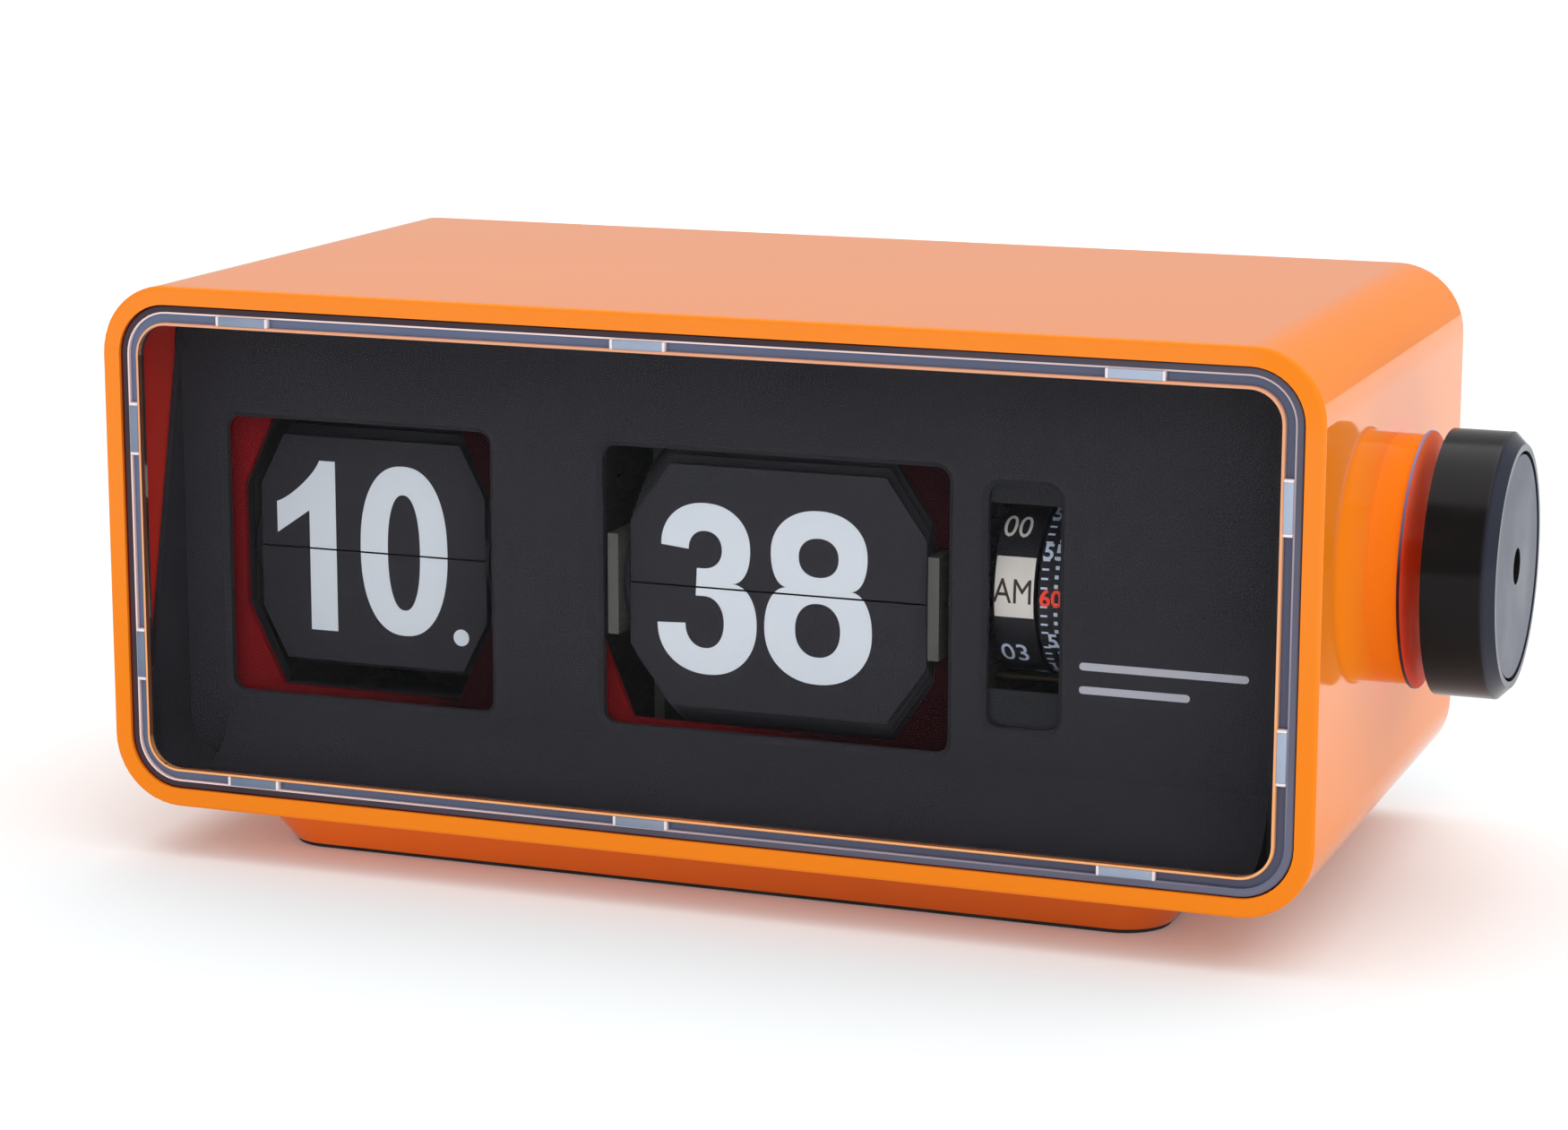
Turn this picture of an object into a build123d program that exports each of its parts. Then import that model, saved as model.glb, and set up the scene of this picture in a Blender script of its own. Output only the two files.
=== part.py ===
from build123d import *
import math
import os

os.makedirs("parts", exist_ok=True)

# ---------------------------------------------------------------- driving sizes, in mm
# The origin is the centre of the pad's underside. X is right, Y is back, Z is up.
case_width = 200.0
case_height = 85.6
case_depth = 102.0
case_radius = 11.4
case_edge_radius = 0.6
wall = 3.0
fit_gap = 0.2
pad_thickness = 0.7
base_height = 8.0

case_bottom = pad_thickness + base_height
mid_z = case_bottom + case_height / 2
case_top = case_bottom + case_height
front_y = -case_depth / 2
back_y = case_depth / 2
inner_width = case_width - 2 * wall
inner_height = case_height - 2 * wall
inner_radius = case_radius - wall
insert_width = inner_width - 2 * fit_gap
insert_height = inner_height - 2 * fit_gap
insert_radius = inner_radius - fit_gap
inner_floor = case_bottom + wall

# lens
lens_plateau_width = 188.0
lens_plateau_height = 73.8
lens_plateau_radius = 5.5
lens_front_step = 1.1
lens_thickness = 2.2
lens_skirt_depth = 3.0
lens_skirt_wall = 1.2
lens_tab_length = 8.2
lens_side_tab_length = 7.6
lens_tab_x = (-74.8, -7.0, 71.5)
lens_side_tab_z = (19.4, -17.8)

# front panel: set back behind the lens, with a floor and side cheeks that rake forward
panel_y = front_y + 18.4
panel_thickness = 2.0
tray_front_y = front_y + 5.4
tray_wall = 0.9
rake_top = (panel_y, mid_z + 31.0)
rake_bottom = (tray_front_y, mid_z - 26.0)
cove_radius = 10.0
window_bevel = 0.8
window_radius = 2.2
hour_window = (-88.2, -40.6, -27.2, 19.1)
minute_window = (-21.0, 37.2, -27.0, 18.45)
alarm_window = (43.4, 55.1, -22.0, 16.6)

# leaves and their drums
axis_y = front_y + 34.0
axis_z = mid_z - 4.2
leaf_thickness = 0.2
leaf_split = 0.15
leaf_stack_pitch = 0.7
moving_leaf_gap = 0.1
minute_centre_x = 7.5
minute_leaf_half = 25.1
minute_leaf_height = 19.7
minute_leaf_chamfer = (6.8, 9.6)
minute_pivot_radius = 11.5
minute_leaf_count = 60
hour_centre_x = -66.45
hour_leaf_half = 20.6
hour_leaf_height = 19.0
hour_leaf_chamfer = (4.4, 8.6)
hour_pivot_radius = 5.5
hour_leaf_count = 24
drum_disc = 0.8
drum_disc_lip = 0.7
minute_core_radius = 8.0
hour_core_radius = 4.2
arbor_radius = 1.5
running_gap = 0.05

# movement plates
plate_thin = 1.5
plate_thick = 1.8
plate_front = -12.0
plate_back = 26.0
plate_top = 88.0
tray_thickness = 1.5
nose_front = front_y + 19.8
nose_half = 8.2
hour_end_x = -90.6
centre_plate_x = -29.0
minute_left_x = -20.4
minute_right_x = 33.6
bridge_x = 38.8
bridge_thickness = 1.2
motor_plate_x = 57.6
motor_plate_thickness = 1.6
post_radius = 2.5
post_places = ((22.0, 20.0), (22.0, 82.0), (-8.0, 84.0))

# gears: (teeth, module)
tooth_addendum = 0.72
tooth_dedendum = 1.1
tooth_share = 0.205
tooth_flank = math.tan(math.radians(20.0))
motion_distance = 15.0
motion_pinion_teeth = 10
motion_wheel_teeth = 60
motion_module = 2 * motion_distance / (motion_pinion_teeth + motion_wheel_teeth)
hour_pinion_teeth = 12
hour_gear_teeth = 48
hour_module = 2 * motion_distance / (hour_pinion_teeth + hour_gear_teeth)
motion_angle = 60.0
set_module = 1.0
set_gear_teeth = 24
set_wheel_teeth = 16
time_idler_teeth = 38
alarm_idler_teeth = 36
minute_wheel_teeth = 75
small_pinion_teeth = 10
minute_wheel_module = 0.32
reduction_teeth = 80
reduction_module = 0.35
stud_radius = 1.0
thumb_radius = 12.0
thumb_width = 2.8
thumb_y = 40.4
thumb_z = 52.0
knurl_depth = 0.5
knurl_count = 36

# alarm drum and seconds wheel
alarm_y = front_y + 35.8
alarm_z = mid_z - 1.9
alarm_radius = 14.2
alarm_x = (43.6, 50.2)
seconds_x = (50.8, 54.8)
drum_rim = 1.0

# side knob
knob_y = front_y + 50.0
knob_z = mid_z + 3.1
knob_radius = 20.8
knob_back_x = 108.4
knob_front_x = 119.5
knob_chamfer = 1.85
knob_recess = 2.2
knob_recess_radius = 17.9
face_disc_radius = 17.35
face_disc_hole = 2.85
shaft_radius = 3.0
dial_radius = 20.2
dial_x = (103.9, 105.2)
dial_collar_radius = 19.6
dial_bore = 4.0


# ---------------------------------------------------------------- helpers
def facing(y):
    """Plane at depth y that looks to the front: local x is X, local y is Z."""
    return Plane(origin=(0, y, 0), x_dir=(1, 0, 0), z_dir=(0, -1, 0))


def across(x):
    """Plane across the clock at x: local x is Y, local y is Z, extrusion goes to +X."""
    return Plane(origin=(x, 0, 0), x_dir=(0, 1, 0), z_dir=(1, 0, 0))


def block(x0, x1, y0, y1, z0, z1, mode=Mode.ADD):
    """Box between the given limits."""
    with Locations(((x0 + x1) / 2, (y0 + y1) / 2, (z0 + z1) / 2)):
        Box(x1 - x0, y1 - y0, z1 - z0, mode=mode)


def rod(x0, x1, y, z, radius, mode=Mode.ADD):
    """Cylinder along X."""
    with Locations(Location(((x0 + x1) / 2, y, z), (0, 90, 0))):
        Cylinder(radius, x1 - x0, mode=mode)


def rod_y(y0, y1, x, z, radius, mode=Mode.ADD):
    """Cylinder along Y."""
    with Locations(Location((x, (y0 + y1) / 2, z), (90, 0, 0))):
        Cylinder(radius, y1 - y0, mode=mode)


def gear_points(teeth, module, centre, phase):
    """Outline of a spur gear in (Y, Z) with one tooth pointing at phase degrees."""
    pitch_radius = module * teeth / 2
    pitch = math.pi * module
    levels = (
        (pitch_radius - tooth_dedendum * module, tooth_share * pitch + 0.45 * tooth_flank * tooth_dedendum * module),
        (pitch_radius, tooth_share * pitch),
        (pitch_radius + tooth_addendum * module, tooth_share * pitch - tooth_flank * tooth_addendum * module),
    )
    points = []
    for tooth in range(teeth):
        middle = math.radians(phase) + 2 * math.pi * tooth / teeth
        sides = [(radius, -half) for radius, half in levels] + [(radius, half) for radius, half in reversed(levels)]
        for radius, half in sides:
            angle = middle + half / radius
            points.append((centre[0] + radius * math.cos(angle), centre[1] + radius * math.sin(angle)))
    return points


def bearing(start, end):
    """Direction from one (Y, Z) point to another, in degrees."""
    return math.degrees(math.atan2(end[1] - start[1], end[0] - start[0]))


def meshed_phase(driver_teeth, driver_phase, driver_centre, teeth, centre):
    """Phase that puts a gear's gap on the driver's tooth where the two meet."""
    direction = bearing(driver_centre, centre)
    driver_share = ((direction - driver_phase) / (360.0 / driver_teeth)) % 1.0
    step = 360.0 / teeth
    return direction + 180.0 - step * (0.5 - driver_share)


def third_corner(a, b, from_a, from_b, side):
    """Point at the given distances from a and b, on one side of the line between them."""
    span = math.dist(a, b)
    along = (from_a ** 2 - from_b ** 2 + span ** 2) / (2 * span)
    off = side * math.sqrt(from_a ** 2 - along ** 2)
    unit = ((b[0] - a[0]) / span, (b[1] - a[1]) / span)
    return (a[0] + along * unit[0] - off * unit[1], a[1] + along * unit[1] + off * unit[0])


def leaf_points(half, height, chamfer):
    """Half card drawn up from its hinge edge, with its two outer corners cut."""
    return [
        (-half, leaf_split),
        (half, leaf_split),
        (half, height - chamfer[1]),
        (half - chamfer[0], height),
        (-half + chamfer[0], height),
        (-half, height - chamfer[1]),
    ]


def fan_planes(centre_x, pivot_radius, count):
    """Planes of the leaves round a drum, from just behind the top leaf to just behind the lower one."""
    planes = []
    for index in range(1, count):
        turn = 2 * math.pi * index / count
        lean = math.pi / 2 + turn / 2
        nearest = min(index, count - index)
        natural = pivot_radius * (1 - math.cos(turn))
        back = max(natural, leaf_stack_pitch * nearest)
        y = axis_y - pivot_radius + back
        z = axis_z + pivot_radius * math.sin(turn)
        normal = (0, -math.sin(lean), -math.cos(lean))
        planes.append(Plane(origin=(centre_x, y, z), x_dir=(1, 0, 0), z_dir=normal))
    return planes


axis = (axis_y, axis_z)
alarm_axis = (alarm_y, alarm_z)
thumb_axis = (thumb_y, thumb_z)
motion_axis = (
    axis_y + motion_distance * math.cos(math.radians(motion_angle)),
    axis_z + motion_distance * math.sin(math.radians(motion_angle)),
)
time_idler_axis = third_corner(
    axis,
    thumb_axis,
    set_module * (set_gear_teeth + time_idler_teeth) / 2,
    set_module * (time_idler_teeth + set_wheel_teeth) / 2,
    -1,
)
alarm_idler_axis = third_corner(
    alarm_axis,
    thumb_axis,
    set_module * (set_gear_teeth + alarm_idler_teeth) / 2,
    set_module * (alarm_idler_teeth + set_wheel_teeth) / 2,
    -1,
)
reduction_axis = third_corner(
    alarm_axis,
    axis,
    reduction_module * (small_pinion_teeth + reduction_teeth) / 2,
    minute_wheel_module * (small_pinion_teeth + minute_wheel_teeth) / 2,
    1,
)

# every gear's phase follows from the one that it meshes with
hour_pinion_phase = 0.0
hour_gear_phase = meshed_phase(hour_pinion_teeth, hour_pinion_phase, motion_axis, hour_gear_teeth, axis)
motion_wheel_phase = 0.0
motion_pinion_phase = meshed_phase(motion_wheel_teeth, motion_wheel_phase, motion_axis, motion_pinion_teeth, axis)
time_gear_phase = 0.0
time_idler_phase = meshed_phase(set_gear_teeth, time_gear_phase, axis, time_idler_teeth, time_idler_axis)
time_wheel_phase = meshed_phase(time_idler_teeth, time_idler_phase, time_idler_axis, set_wheel_teeth, thumb_axis)
alarm_gear_phase = 0.0
alarm_idler_phase = meshed_phase(set_gear_teeth, alarm_gear_phase, alarm_axis, alarm_idler_teeth, alarm_idler_axis)
alarm_wheel_phase = meshed_phase(alarm_idler_teeth, alarm_idler_phase, alarm_idler_axis, set_wheel_teeth, thumb_axis)
minute_wheel_phase = 0.0
small_pinion_phase = meshed_phase(minute_wheel_teeth, minute_wheel_phase, axis, small_pinion_teeth, reduction_axis)
reduction_phase = 0.0
seconds_pinion_phase = meshed_phase(reduction_teeth, reduction_phase, reduction_axis, small_pinion_teeth, alarm_axis)

# ---------------------------------------------------------------- case
boss_x = 92.3
boss_z = 35.1
boss_radius = 3.5
cover_back_y = back_y - 1.4
cover_thickness = 2.0
cover_front_y = cover_back_y - cover_thickness
boss_front_y = 32.0
base_screw_x = 55.0
base_screw_y = 19.0
base_screw_places = [(sx * base_screw_x, sy * base_screw_y) for sx in (-1, 1) for sy in (-1, 1)]
boss_places = [(sx * boss_x, mid_z + sz * boss_z) for sx in (-1, 1) for sz in (-1, 1)]
board_x = 86.0
board_thickness = 1.6
board_post_places = [(-18.0, 22.0), (-18.0, 80.0), (36.0, 22.0), (36.0, 80.0)]
screw_radius = 1.4
clearance_radius = 1.6
rear_screw_head_radius = 2.8
cross_half_length = 1.7
cross_half_width = 0.35
cross_depth = 0.9
cross_arms = ((cross_half_length, cross_half_width), (cross_half_width, cross_half_length))

with BuildPart() as case_sleeve:
    with BuildSketch(facing(front_y)):
        with Locations((0, mid_z)):
            RectangleRounded(case_width, case_height, case_radius)
            RectangleRounded(inner_width, inner_height, inner_radius, mode=Mode.SUBTRACT)
    extrude(amount=-case_depth)
    ends = case_sleeve.faces().sort_by(Axis.Y)
    fillet(ends[0].outer_wire().edges() + ends[-1].outer_wire().edges(), case_edge_radius)
    for x, z in boss_places:
        rod_y(boss_front_y, cover_front_y, x, z, boss_radius)
    for y, z in board_post_places:
        rod(board_x + board_thickness, inner_width / 2 + 0.5, y, z, boss_radius)
    for x, z in boss_places:
        rod_y(boss_front_y + 2, cover_front_y, x, z, screw_radius, mode=Mode.SUBTRACT)
    rod(inner_width / 2 - 1, case_width / 2 + 1, knob_y, knob_z, dial_bore, mode=Mode.SUBTRACT)
    for x, y in base_screw_places:
        with Locations((x, y, case_bottom + wall / 2)):
            Cylinder(clearance_radius, wall + 2, mode=Mode.SUBTRACT)
case_sleeve.part.label = "case_sleeve"

base_centre_x = -2.2
base_bottom_size = (151.0, 74.5, 8.0)
base_top_size = (164.0, 84.0, 12.0)
base_cavity_size = (128.0, 52.0, 4.8)
base_cavity_radius = 6.0
base_screw_head_radius = 3.0
base_screw_head_height = 2.0

with BuildPart() as pedestal_base:
    with BuildSketch(Plane.XY.offset(pad_thickness)):
        with Locations((base_centre_x, 0)):
            RectangleRounded(*base_bottom_size)
    with BuildSketch(Plane.XY.offset(case_bottom)):
        with Locations((base_centre_x, 0)):
            RectangleRounded(*base_top_size)
    loft()
    with BuildSketch(Plane.XY.offset(pad_thickness)):
        with Locations((base_centre_x, 0)):
            RectangleRounded(base_cavity_size[0], base_cavity_size[1], base_cavity_radius)
    extrude(amount=base_cavity_size[2], mode=Mode.SUBTRACT)
    for x, y in base_screw_places:
        with Locations((x, y, case_bottom - 1)):
            Cylinder(clearance_radius, base_height, mode=Mode.SUBTRACT)
pedestal_base.part.label = "pedestal_base"

with BuildPart() as base_pad:
    with BuildSketch(Plane.XY):
        with Locations((base_centre_x, 0)):
            RectangleRounded(base_bottom_size[0] - 1.0, base_bottom_size[1] - 1.0, base_bottom_size[2] - 0.5)
    extrude(amount=pad_thickness)
base_pad.part.label = "base_pad"

base_screw_head_z = pad_thickness + base_cavity_size[2]
with BuildPart() as base_screws:
    for x, y in base_screw_places:
        with Locations((x, y, base_screw_head_z - base_screw_head_height / 2)):
            Cylinder(base_screw_head_radius, base_screw_head_height)
        with Locations((x, y, (base_screw_head_z + inner_floor + tray_thickness + 2) / 2)):
            Cylinder(screw_radius, inner_floor + tray_thickness + 2 - base_screw_head_z)
        with Locations((x, y, base_screw_head_z - base_screw_head_height + cross_depth / 2)):
            for arm_x, arm_y in cross_arms:
                Box(2 * arm_x, 2 * arm_y, cross_depth, mode=Mode.SUBTRACT)
base_screws.part.label = "base_screws"

# ---------------------------------------------------------------- lens
with BuildPart() as front_lens:
    with BuildSketch(facing(front_y + lens_front_step)):
        with Locations((0, mid_z)):
            RectangleRounded(insert_width, insert_height, insert_radius)
    extrude(amount=-(lens_thickness - lens_front_step))
    with BuildSketch(facing(front_y)):
        with Locations((0, mid_z)):
            RectangleRounded(lens_plateau_width, lens_plateau_height, lens_plateau_radius)
    extrude(amount=-lens_front_step)
    with BuildSketch(facing(front_y + lens_thickness)):
        with Locations((0, mid_z)):
            RectangleRounded(insert_width, insert_height, insert_radius)
            RectangleRounded(
                insert_width - 2 * lens_skirt_wall,
                insert_height - 2 * lens_skirt_wall,
                insert_radius - lens_skirt_wall,
                mode=Mode.SUBTRACT,
            )
    extrude(amount=-lens_skirt_depth)
    for side in (-1, 1):
        inner_edge = side * lens_plateau_height / 2
        outer_edge = side * insert_height / 2
        for x in lens_tab_x:
            half = lens_tab_length / 2
            low, high = sorted((mid_z + inner_edge, mid_z + outer_edge))
            block(x - half, x + half, front_y, front_y + lens_front_step, low, high)
        inner_edge = side * lens_plateau_width / 2
        outer_edge = side * insert_width / 2
        for z in lens_side_tab_z:
            half = lens_side_tab_length / 2
            low, high = sorted((inner_edge, outer_edge))
            block(low, high, front_y, front_y + lens_front_step, mid_z + z - half, mid_z + z + half)
front_lens.part.label = "front_lens"

# ---------------------------------------------------------------- front panel
windows = (hour_window, minute_window, alarm_window)
mask_y = panel_y + panel_thickness
mask_thickness = 0.8
mask_opening = (43.0, 55.6, -16.2, 13.3)

with BuildPart() as front_panel:
    with BuildSketch(facing(panel_y)):
        with Locations((0, mid_z)):
            RectangleRounded(insert_width, insert_height, insert_radius)
    extrude(amount=-panel_thickness)
    with BuildSketch(facing(tray_front_y)):
        with Locations((0, mid_z)):
            RectangleRounded(insert_width, insert_height, insert_radius)
            RectangleRounded(
                insert_width - 2 * tray_wall,
                insert_height - 2 * tray_wall,
                insert_radius - tray_wall,
                mode=Mode.SUBTRACT,
            )
    extrude(amount=-(panel_y - tray_front_y))
    tray_floor_z = mid_z - insert_height / 2 + tray_wall
    with BuildSketch(across(-insert_width / 2 + insert_radius)):
        with BuildLine():
            Line((panel_y, tray_floor_z + cove_radius), (panel_y, tray_floor_z - 0.1))
            Line((panel_y, tray_floor_z - 0.1), (panel_y - cove_radius, tray_floor_z - 0.1))
            Line((panel_y - cove_radius, tray_floor_z - 0.1), (panel_y - cove_radius, tray_floor_z))
            CenterArc((panel_y - cove_radius, tray_floor_z + cove_radius), cove_radius, -90, 90)
        make_face()
    extrude(amount=insert_width - 2 * insert_radius)
    with BuildSketch(across(-case_width / 2)):
        with BuildLine():
            Polyline(
                rake_top,
                rake_bottom,
                (rake_bottom[0] - 5, rake_bottom[1]),
                (rake_bottom[0] - 5, case_top),
                (panel_y, case_top),
                close=True,
            )
        make_face()
    extrude(amount=case_width, mode=Mode.SUBTRACT)
    for x0, x1, z0, z1 in windows:
        width = x1 - x0
        height = z1 - z0
        centre = ((x0 + x1) / 2, mid_z + (z0 + z1) / 2)
        with BuildSketch(facing(panel_y)):
            with Locations(centre):
                RectangleRounded(
                    width + 2 * window_bevel, height + 2 * window_bevel, window_radius + window_bevel
                )
        extrude(amount=-window_bevel, taper=45, mode=Mode.SUBTRACT)
        with BuildSketch(facing(panel_y)):
            with Locations(centre):
                RectangleRounded(width, height, window_radius)
        extrude(amount=-panel_thickness, mode=Mode.SUBTRACT)
front_panel.part.label = "front_panel"

with BuildPart() as alarm_window_mask:
    block(41.4, 57.2, mask_y, mask_y + mask_thickness, mid_z - 24.4, mid_z + 19.0)
    x0, x1, z0, z1 = mask_opening
    block(x0, x1, mask_y - 1, mask_y + 2, mid_z + z0, mid_z + z1, mode=Mode.SUBTRACT)
alarm_window_mask.part.label = "alarm_window_mask"

# ---------------------------------------------------------------- surround behind the windows
surround_y = front_y + 24.0
surround_thickness = 1.2
surround_right = 35.95
baffle_wall = 0.9
baffle_depth = 2.4
hour_opening = [
    (-87.8, 6.8),
    (-81.6, 20.0),
    (-48.8, 20.0),
    (-42.8, 6.8),
    (-42.8, -13.5),
    (-49.1, -26.9),
    (-81.3, -26.9),
    (-87.8, -13.5),
]
minute_opening = [
    (-23.6, 19.4),
    (26.0, 19.4),
    (33.3, 8.6),
    (33.3, -17.0),
    (26.5, -27.1),
    (-18.0, -27.1),
    (-23.6, -13.5),
]
gear_cut = (-41.0, -29.6, -22.0, 14.0)
nose_cut_half = nose_half + 0.5

with BuildPart() as display_surround:
    with BuildSketch(facing(surround_y)):
        with Locations((0, mid_z)):
            RectangleRounded(insert_width, insert_height, insert_radius)
    extrude(amount=-surround_thickness)
    block(surround_right, case_width, surround_y - 1, surround_y + 3, case_bottom, case_top, mode=Mode.SUBTRACT)
    for opening in (hour_opening, minute_opening):
        with BuildSketch(facing(surround_y)):
            with BuildLine():
                Polyline(*[(x, mid_z + z) for x, z in opening], close=True)
            make_face()
        extrude(amount=-surround_thickness, mode=Mode.SUBTRACT)
    x0, x1, z0, z1 = gear_cut
    block(x0, x1, surround_y - 1, surround_y + 3, mid_z + z0, mid_z + z1, mode=Mode.SUBTRACT)
    block(33.0, 37.0, surround_y - 1, surround_y + 3, axis_z - nose_cut_half, axis_z + nose_cut_half,
          mode=Mode.SUBTRACT)
    for sx, sz in ((-92.0, 34.0), (-92.0, -34.0), (-32.0, 34.0), (-32.0, -34.0), (32.0, 34.0), (32.0, -34.0)):
        rod_y(mask_y, surround_y, sx, mid_z + sz, 2.0)
display_surround.part.label = "display_surround"

with BuildPart() as hour_light_baffle:
    with BuildSketch(facing(surround_y + surround_thickness)):
        with BuildLine():
            Polyline(*[(x, mid_z + z) for x, z in hour_opening], close=True)
        make_face()
        offset(amount=baffle_wall, kind=Kind.INTERSECTION)
        with BuildLine():
            Polyline(*[(x, mid_z + z) for x, z in hour_opening], close=True)
        make_face(mode=Mode.SUBTRACT)
    extrude(amount=-baffle_depth)
hour_light_baffle.part.label = "hour_light_baffle"

# ---------------------------------------------------------------- rear cover
grille_x = -60.0
grille_z = mid_z + 0.5
grille_pitch = 4.0
grille_rows = 9
grille_radius = 20.0
grille_slot = 2.0
time_thumb_x = (-35.6, -32.8)
alarm_thumb_x = (42.6, 45.4)
time_gear_x = (-32.6, -31.0)
alarm_gear_x = (40.8, 42.4)
volume_x = (77.0, 79.4)
volume_y = 41.0
volume_z = 30.0
volume_radius = 11.0
thumb_gap = 0.8
slider_x = 66.0
slider_z = 64.0
slider_travel = 8.0
slider_width = 4.0
slider_height = 5.0
gland_x = 24.0
gland_z = 20.0
gland_radius = 4.0
rear_hole_radius = 1.6


def slot_half(radius, centre_y):
    """Half height of the slot that a wheel needs where it passes the rear cover."""
    return math.sqrt((radius + knurl_depth) ** 2 - (cover_front_y - centre_y) ** 2) + thumb_gap


with BuildPart() as rear_cover:
    with BuildSketch(facing(cover_front_y)):
        with Locations((0, mid_z)):
            RectangleRounded(insert_width, insert_height, insert_radius)
    extrude(amount=-cover_thickness)
    for row in range(grille_rows):
        offset_z = (row - (grille_rows - 1) / 2) * grille_pitch
        half = math.sqrt(grille_radius ** 2 - offset_z ** 2)
        low = grille_z + offset_z - grille_slot / 2
        block(grille_x - half, grille_x + half, cover_front_y - 1, back_y, low, low + grille_slot, mode=Mode.SUBTRACT)
    for x0, x1, y, z, radius in (
        (time_thumb_x[0], time_gear_x[1], thumb_y, thumb_z, thumb_radius),
        (alarm_gear_x[0], alarm_thumb_x[1], thumb_y, thumb_z, thumb_radius),
        (volume_x[0], volume_x[1], volume_y, volume_z, volume_radius),
    ):
        half = slot_half(radius, y)
        block(x0 - thumb_gap, x1 + thumb_gap, cover_front_y - 1, back_y, z - half, z + half, mode=Mode.SUBTRACT)
    block(
        slider_x - slider_width / 2 - 0.3,
        slider_x + slider_width / 2 + 0.3,
        cover_front_y - 1,
        back_y,
        slider_z - slider_height / 2 - 0.4,
        slider_z + slider_height / 2 + slider_travel + 0.4,
        mode=Mode.SUBTRACT,
    )
    for column in range(7):
        x = -4.0 + column * 5.0
        block(x, x + 2.0, cover_front_y - 1, back_y, mid_z - 14, mid_z + 22, mode=Mode.SUBTRACT)
    rod_y(cover_front_y - 1, back_y, gland_x, gland_z, gland_radius, mode=Mode.SUBTRACT)
    for x, z in boss_places:
        rod_y(cover_front_y - 1, back_y, x, z, rear_hole_radius, mode=Mode.SUBTRACT)
rear_cover.part.label = "rear_cover"

with BuildPart() as rear_screws:
    for x, z in boss_places:
        rod_y(cover_back_y, back_y, x, z, rear_screw_head_radius)
        rod_y(cover_front_y - 8, cover_back_y, x, z, screw_radius)
        for arm_x, arm_z in cross_arms:
            block(x - arm_x, x + arm_x, back_y - cross_depth, back_y, z - arm_z, z + arm_z, mode=Mode.SUBTRACT)
rear_screws.part.label = "rear_screws"

with BuildPart() as cord_gland:
    rod_y(cover_front_y - 2, cover_back_y + 1.2, gland_x, gland_z, gland_radius)
    rod_y(cover_back_y, cover_back_y + 1.2, gland_x, gland_z, gland_radius + 1.5)
    rod_y(cover_front_y - 3, cover_back_y + 2, gland_x, gland_z, 2.2, mode=Mode.SUBTRACT)
cord_gland.part.label = "cord_gland"

# ---------------------------------------------------------------- movement frame
tray_top = inner_floor + tray_thickness
tray_x = (-88.5, 62.0)

with BuildPart() as movement_tray:
    block(tray_x[0], tray_x[1], -22.0, 27.0, inner_floor, tray_top)
    block(-20.0, 30.0, 27.0, 46.5, inner_floor, tray_top)
    for x, y in base_screw_places:
        with Locations((x, y, tray_top)):
            Cylinder(screw_radius, 3 * tray_thickness, mode=Mode.SUBTRACT)
movement_tray.part.label = "movement_tray"


def plate_holes(x):
    """Post holes that every movement plate has."""
    for y, z in post_places:
        rod(x - 1, x + 4, y, z, post_radius, mode=Mode.SUBTRACT)


with BuildPart() as hour_end_plate:
    block(hour_end_x, hour_end_x + plate_thin, -21.0, plate_back, tray_top, plate_top)
    block(hour_end_x, hour_end_x + 5.0, -21.0, plate_back, tray_top, tray_top + plate_thin)
    plate_holes(hour_end_x)
    rod(hour_end_x - 1, hour_end_x + 3, axis_y, axis_z, arbor_radius + running_gap, mode=Mode.SUBTRACT)
hour_end_plate.part.label = "hour_end_plate"

with BuildPart() as centre_plate:
    block(centre_plate_x, centre_plate_x + plate_thin, -21.0, plate_back, tray_top, plate_top)
    block(centre_plate_x, centre_plate_x + plate_thin, plate_back, thumb_y + 4, thumb_z - 5, thumb_z + 5)
    plate_holes(centre_plate_x)
    rod(centre_plate_x - 1, centre_plate_x + 3, axis_y, axis_z, arbor_radius + running_gap, mode=Mode.SUBTRACT)
    for y, z in (motion_axis, time_idler_axis, thumb_axis):
        rod(centre_plate_x - 1, centre_plate_x + 3, y, z, stud_radius, mode=Mode.SUBTRACT)
centre_plate.part.label = "centre_plate"

with BuildPart() as minute_plates:
    for x in (minute_left_x, minute_right_x):
        block(x, x + plate_thick, plate_front, plate_back, tray_top, plate_top)
        block(x, x + plate_thick, nose_front, plate_front, axis_z - nose_half, axis_z + nose_half)
        plate_holes(x)
        rod(x - 1, x + 3, axis_y, axis_z, arbor_radius + running_gap, mode=Mode.SUBTRACT)
minute_plates.part.label = "minute_plates"

reduction_shaft_radius = 0.8
with BuildPart() as alarm_bridge_plate:
    block(bridge_x, bridge_x + bridge_thickness, -20.0, plate_back, tray_top, plate_top)
    block(bridge_x, bridge_x + bridge_thickness, plate_back, thumb_y + 4, thumb_z - 5, thumb_z + 5)
    plate_holes(bridge_x)
    for y, z in (alarm_axis, alarm_idler_axis, thumb_axis):
        rod(bridge_x - 1, bridge_x + 3, y, z, stud_radius, mode=Mode.SUBTRACT)
    rod(
        bridge_x - 1,
        bridge_x + 3,
        reduction_axis[0],
        reduction_axis[1],
        reduction_shaft_radius + running_gap,
        mode=Mode.SUBTRACT,
    )
alarm_bridge_plate.part.label = "alarm_bridge_plate"

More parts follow.
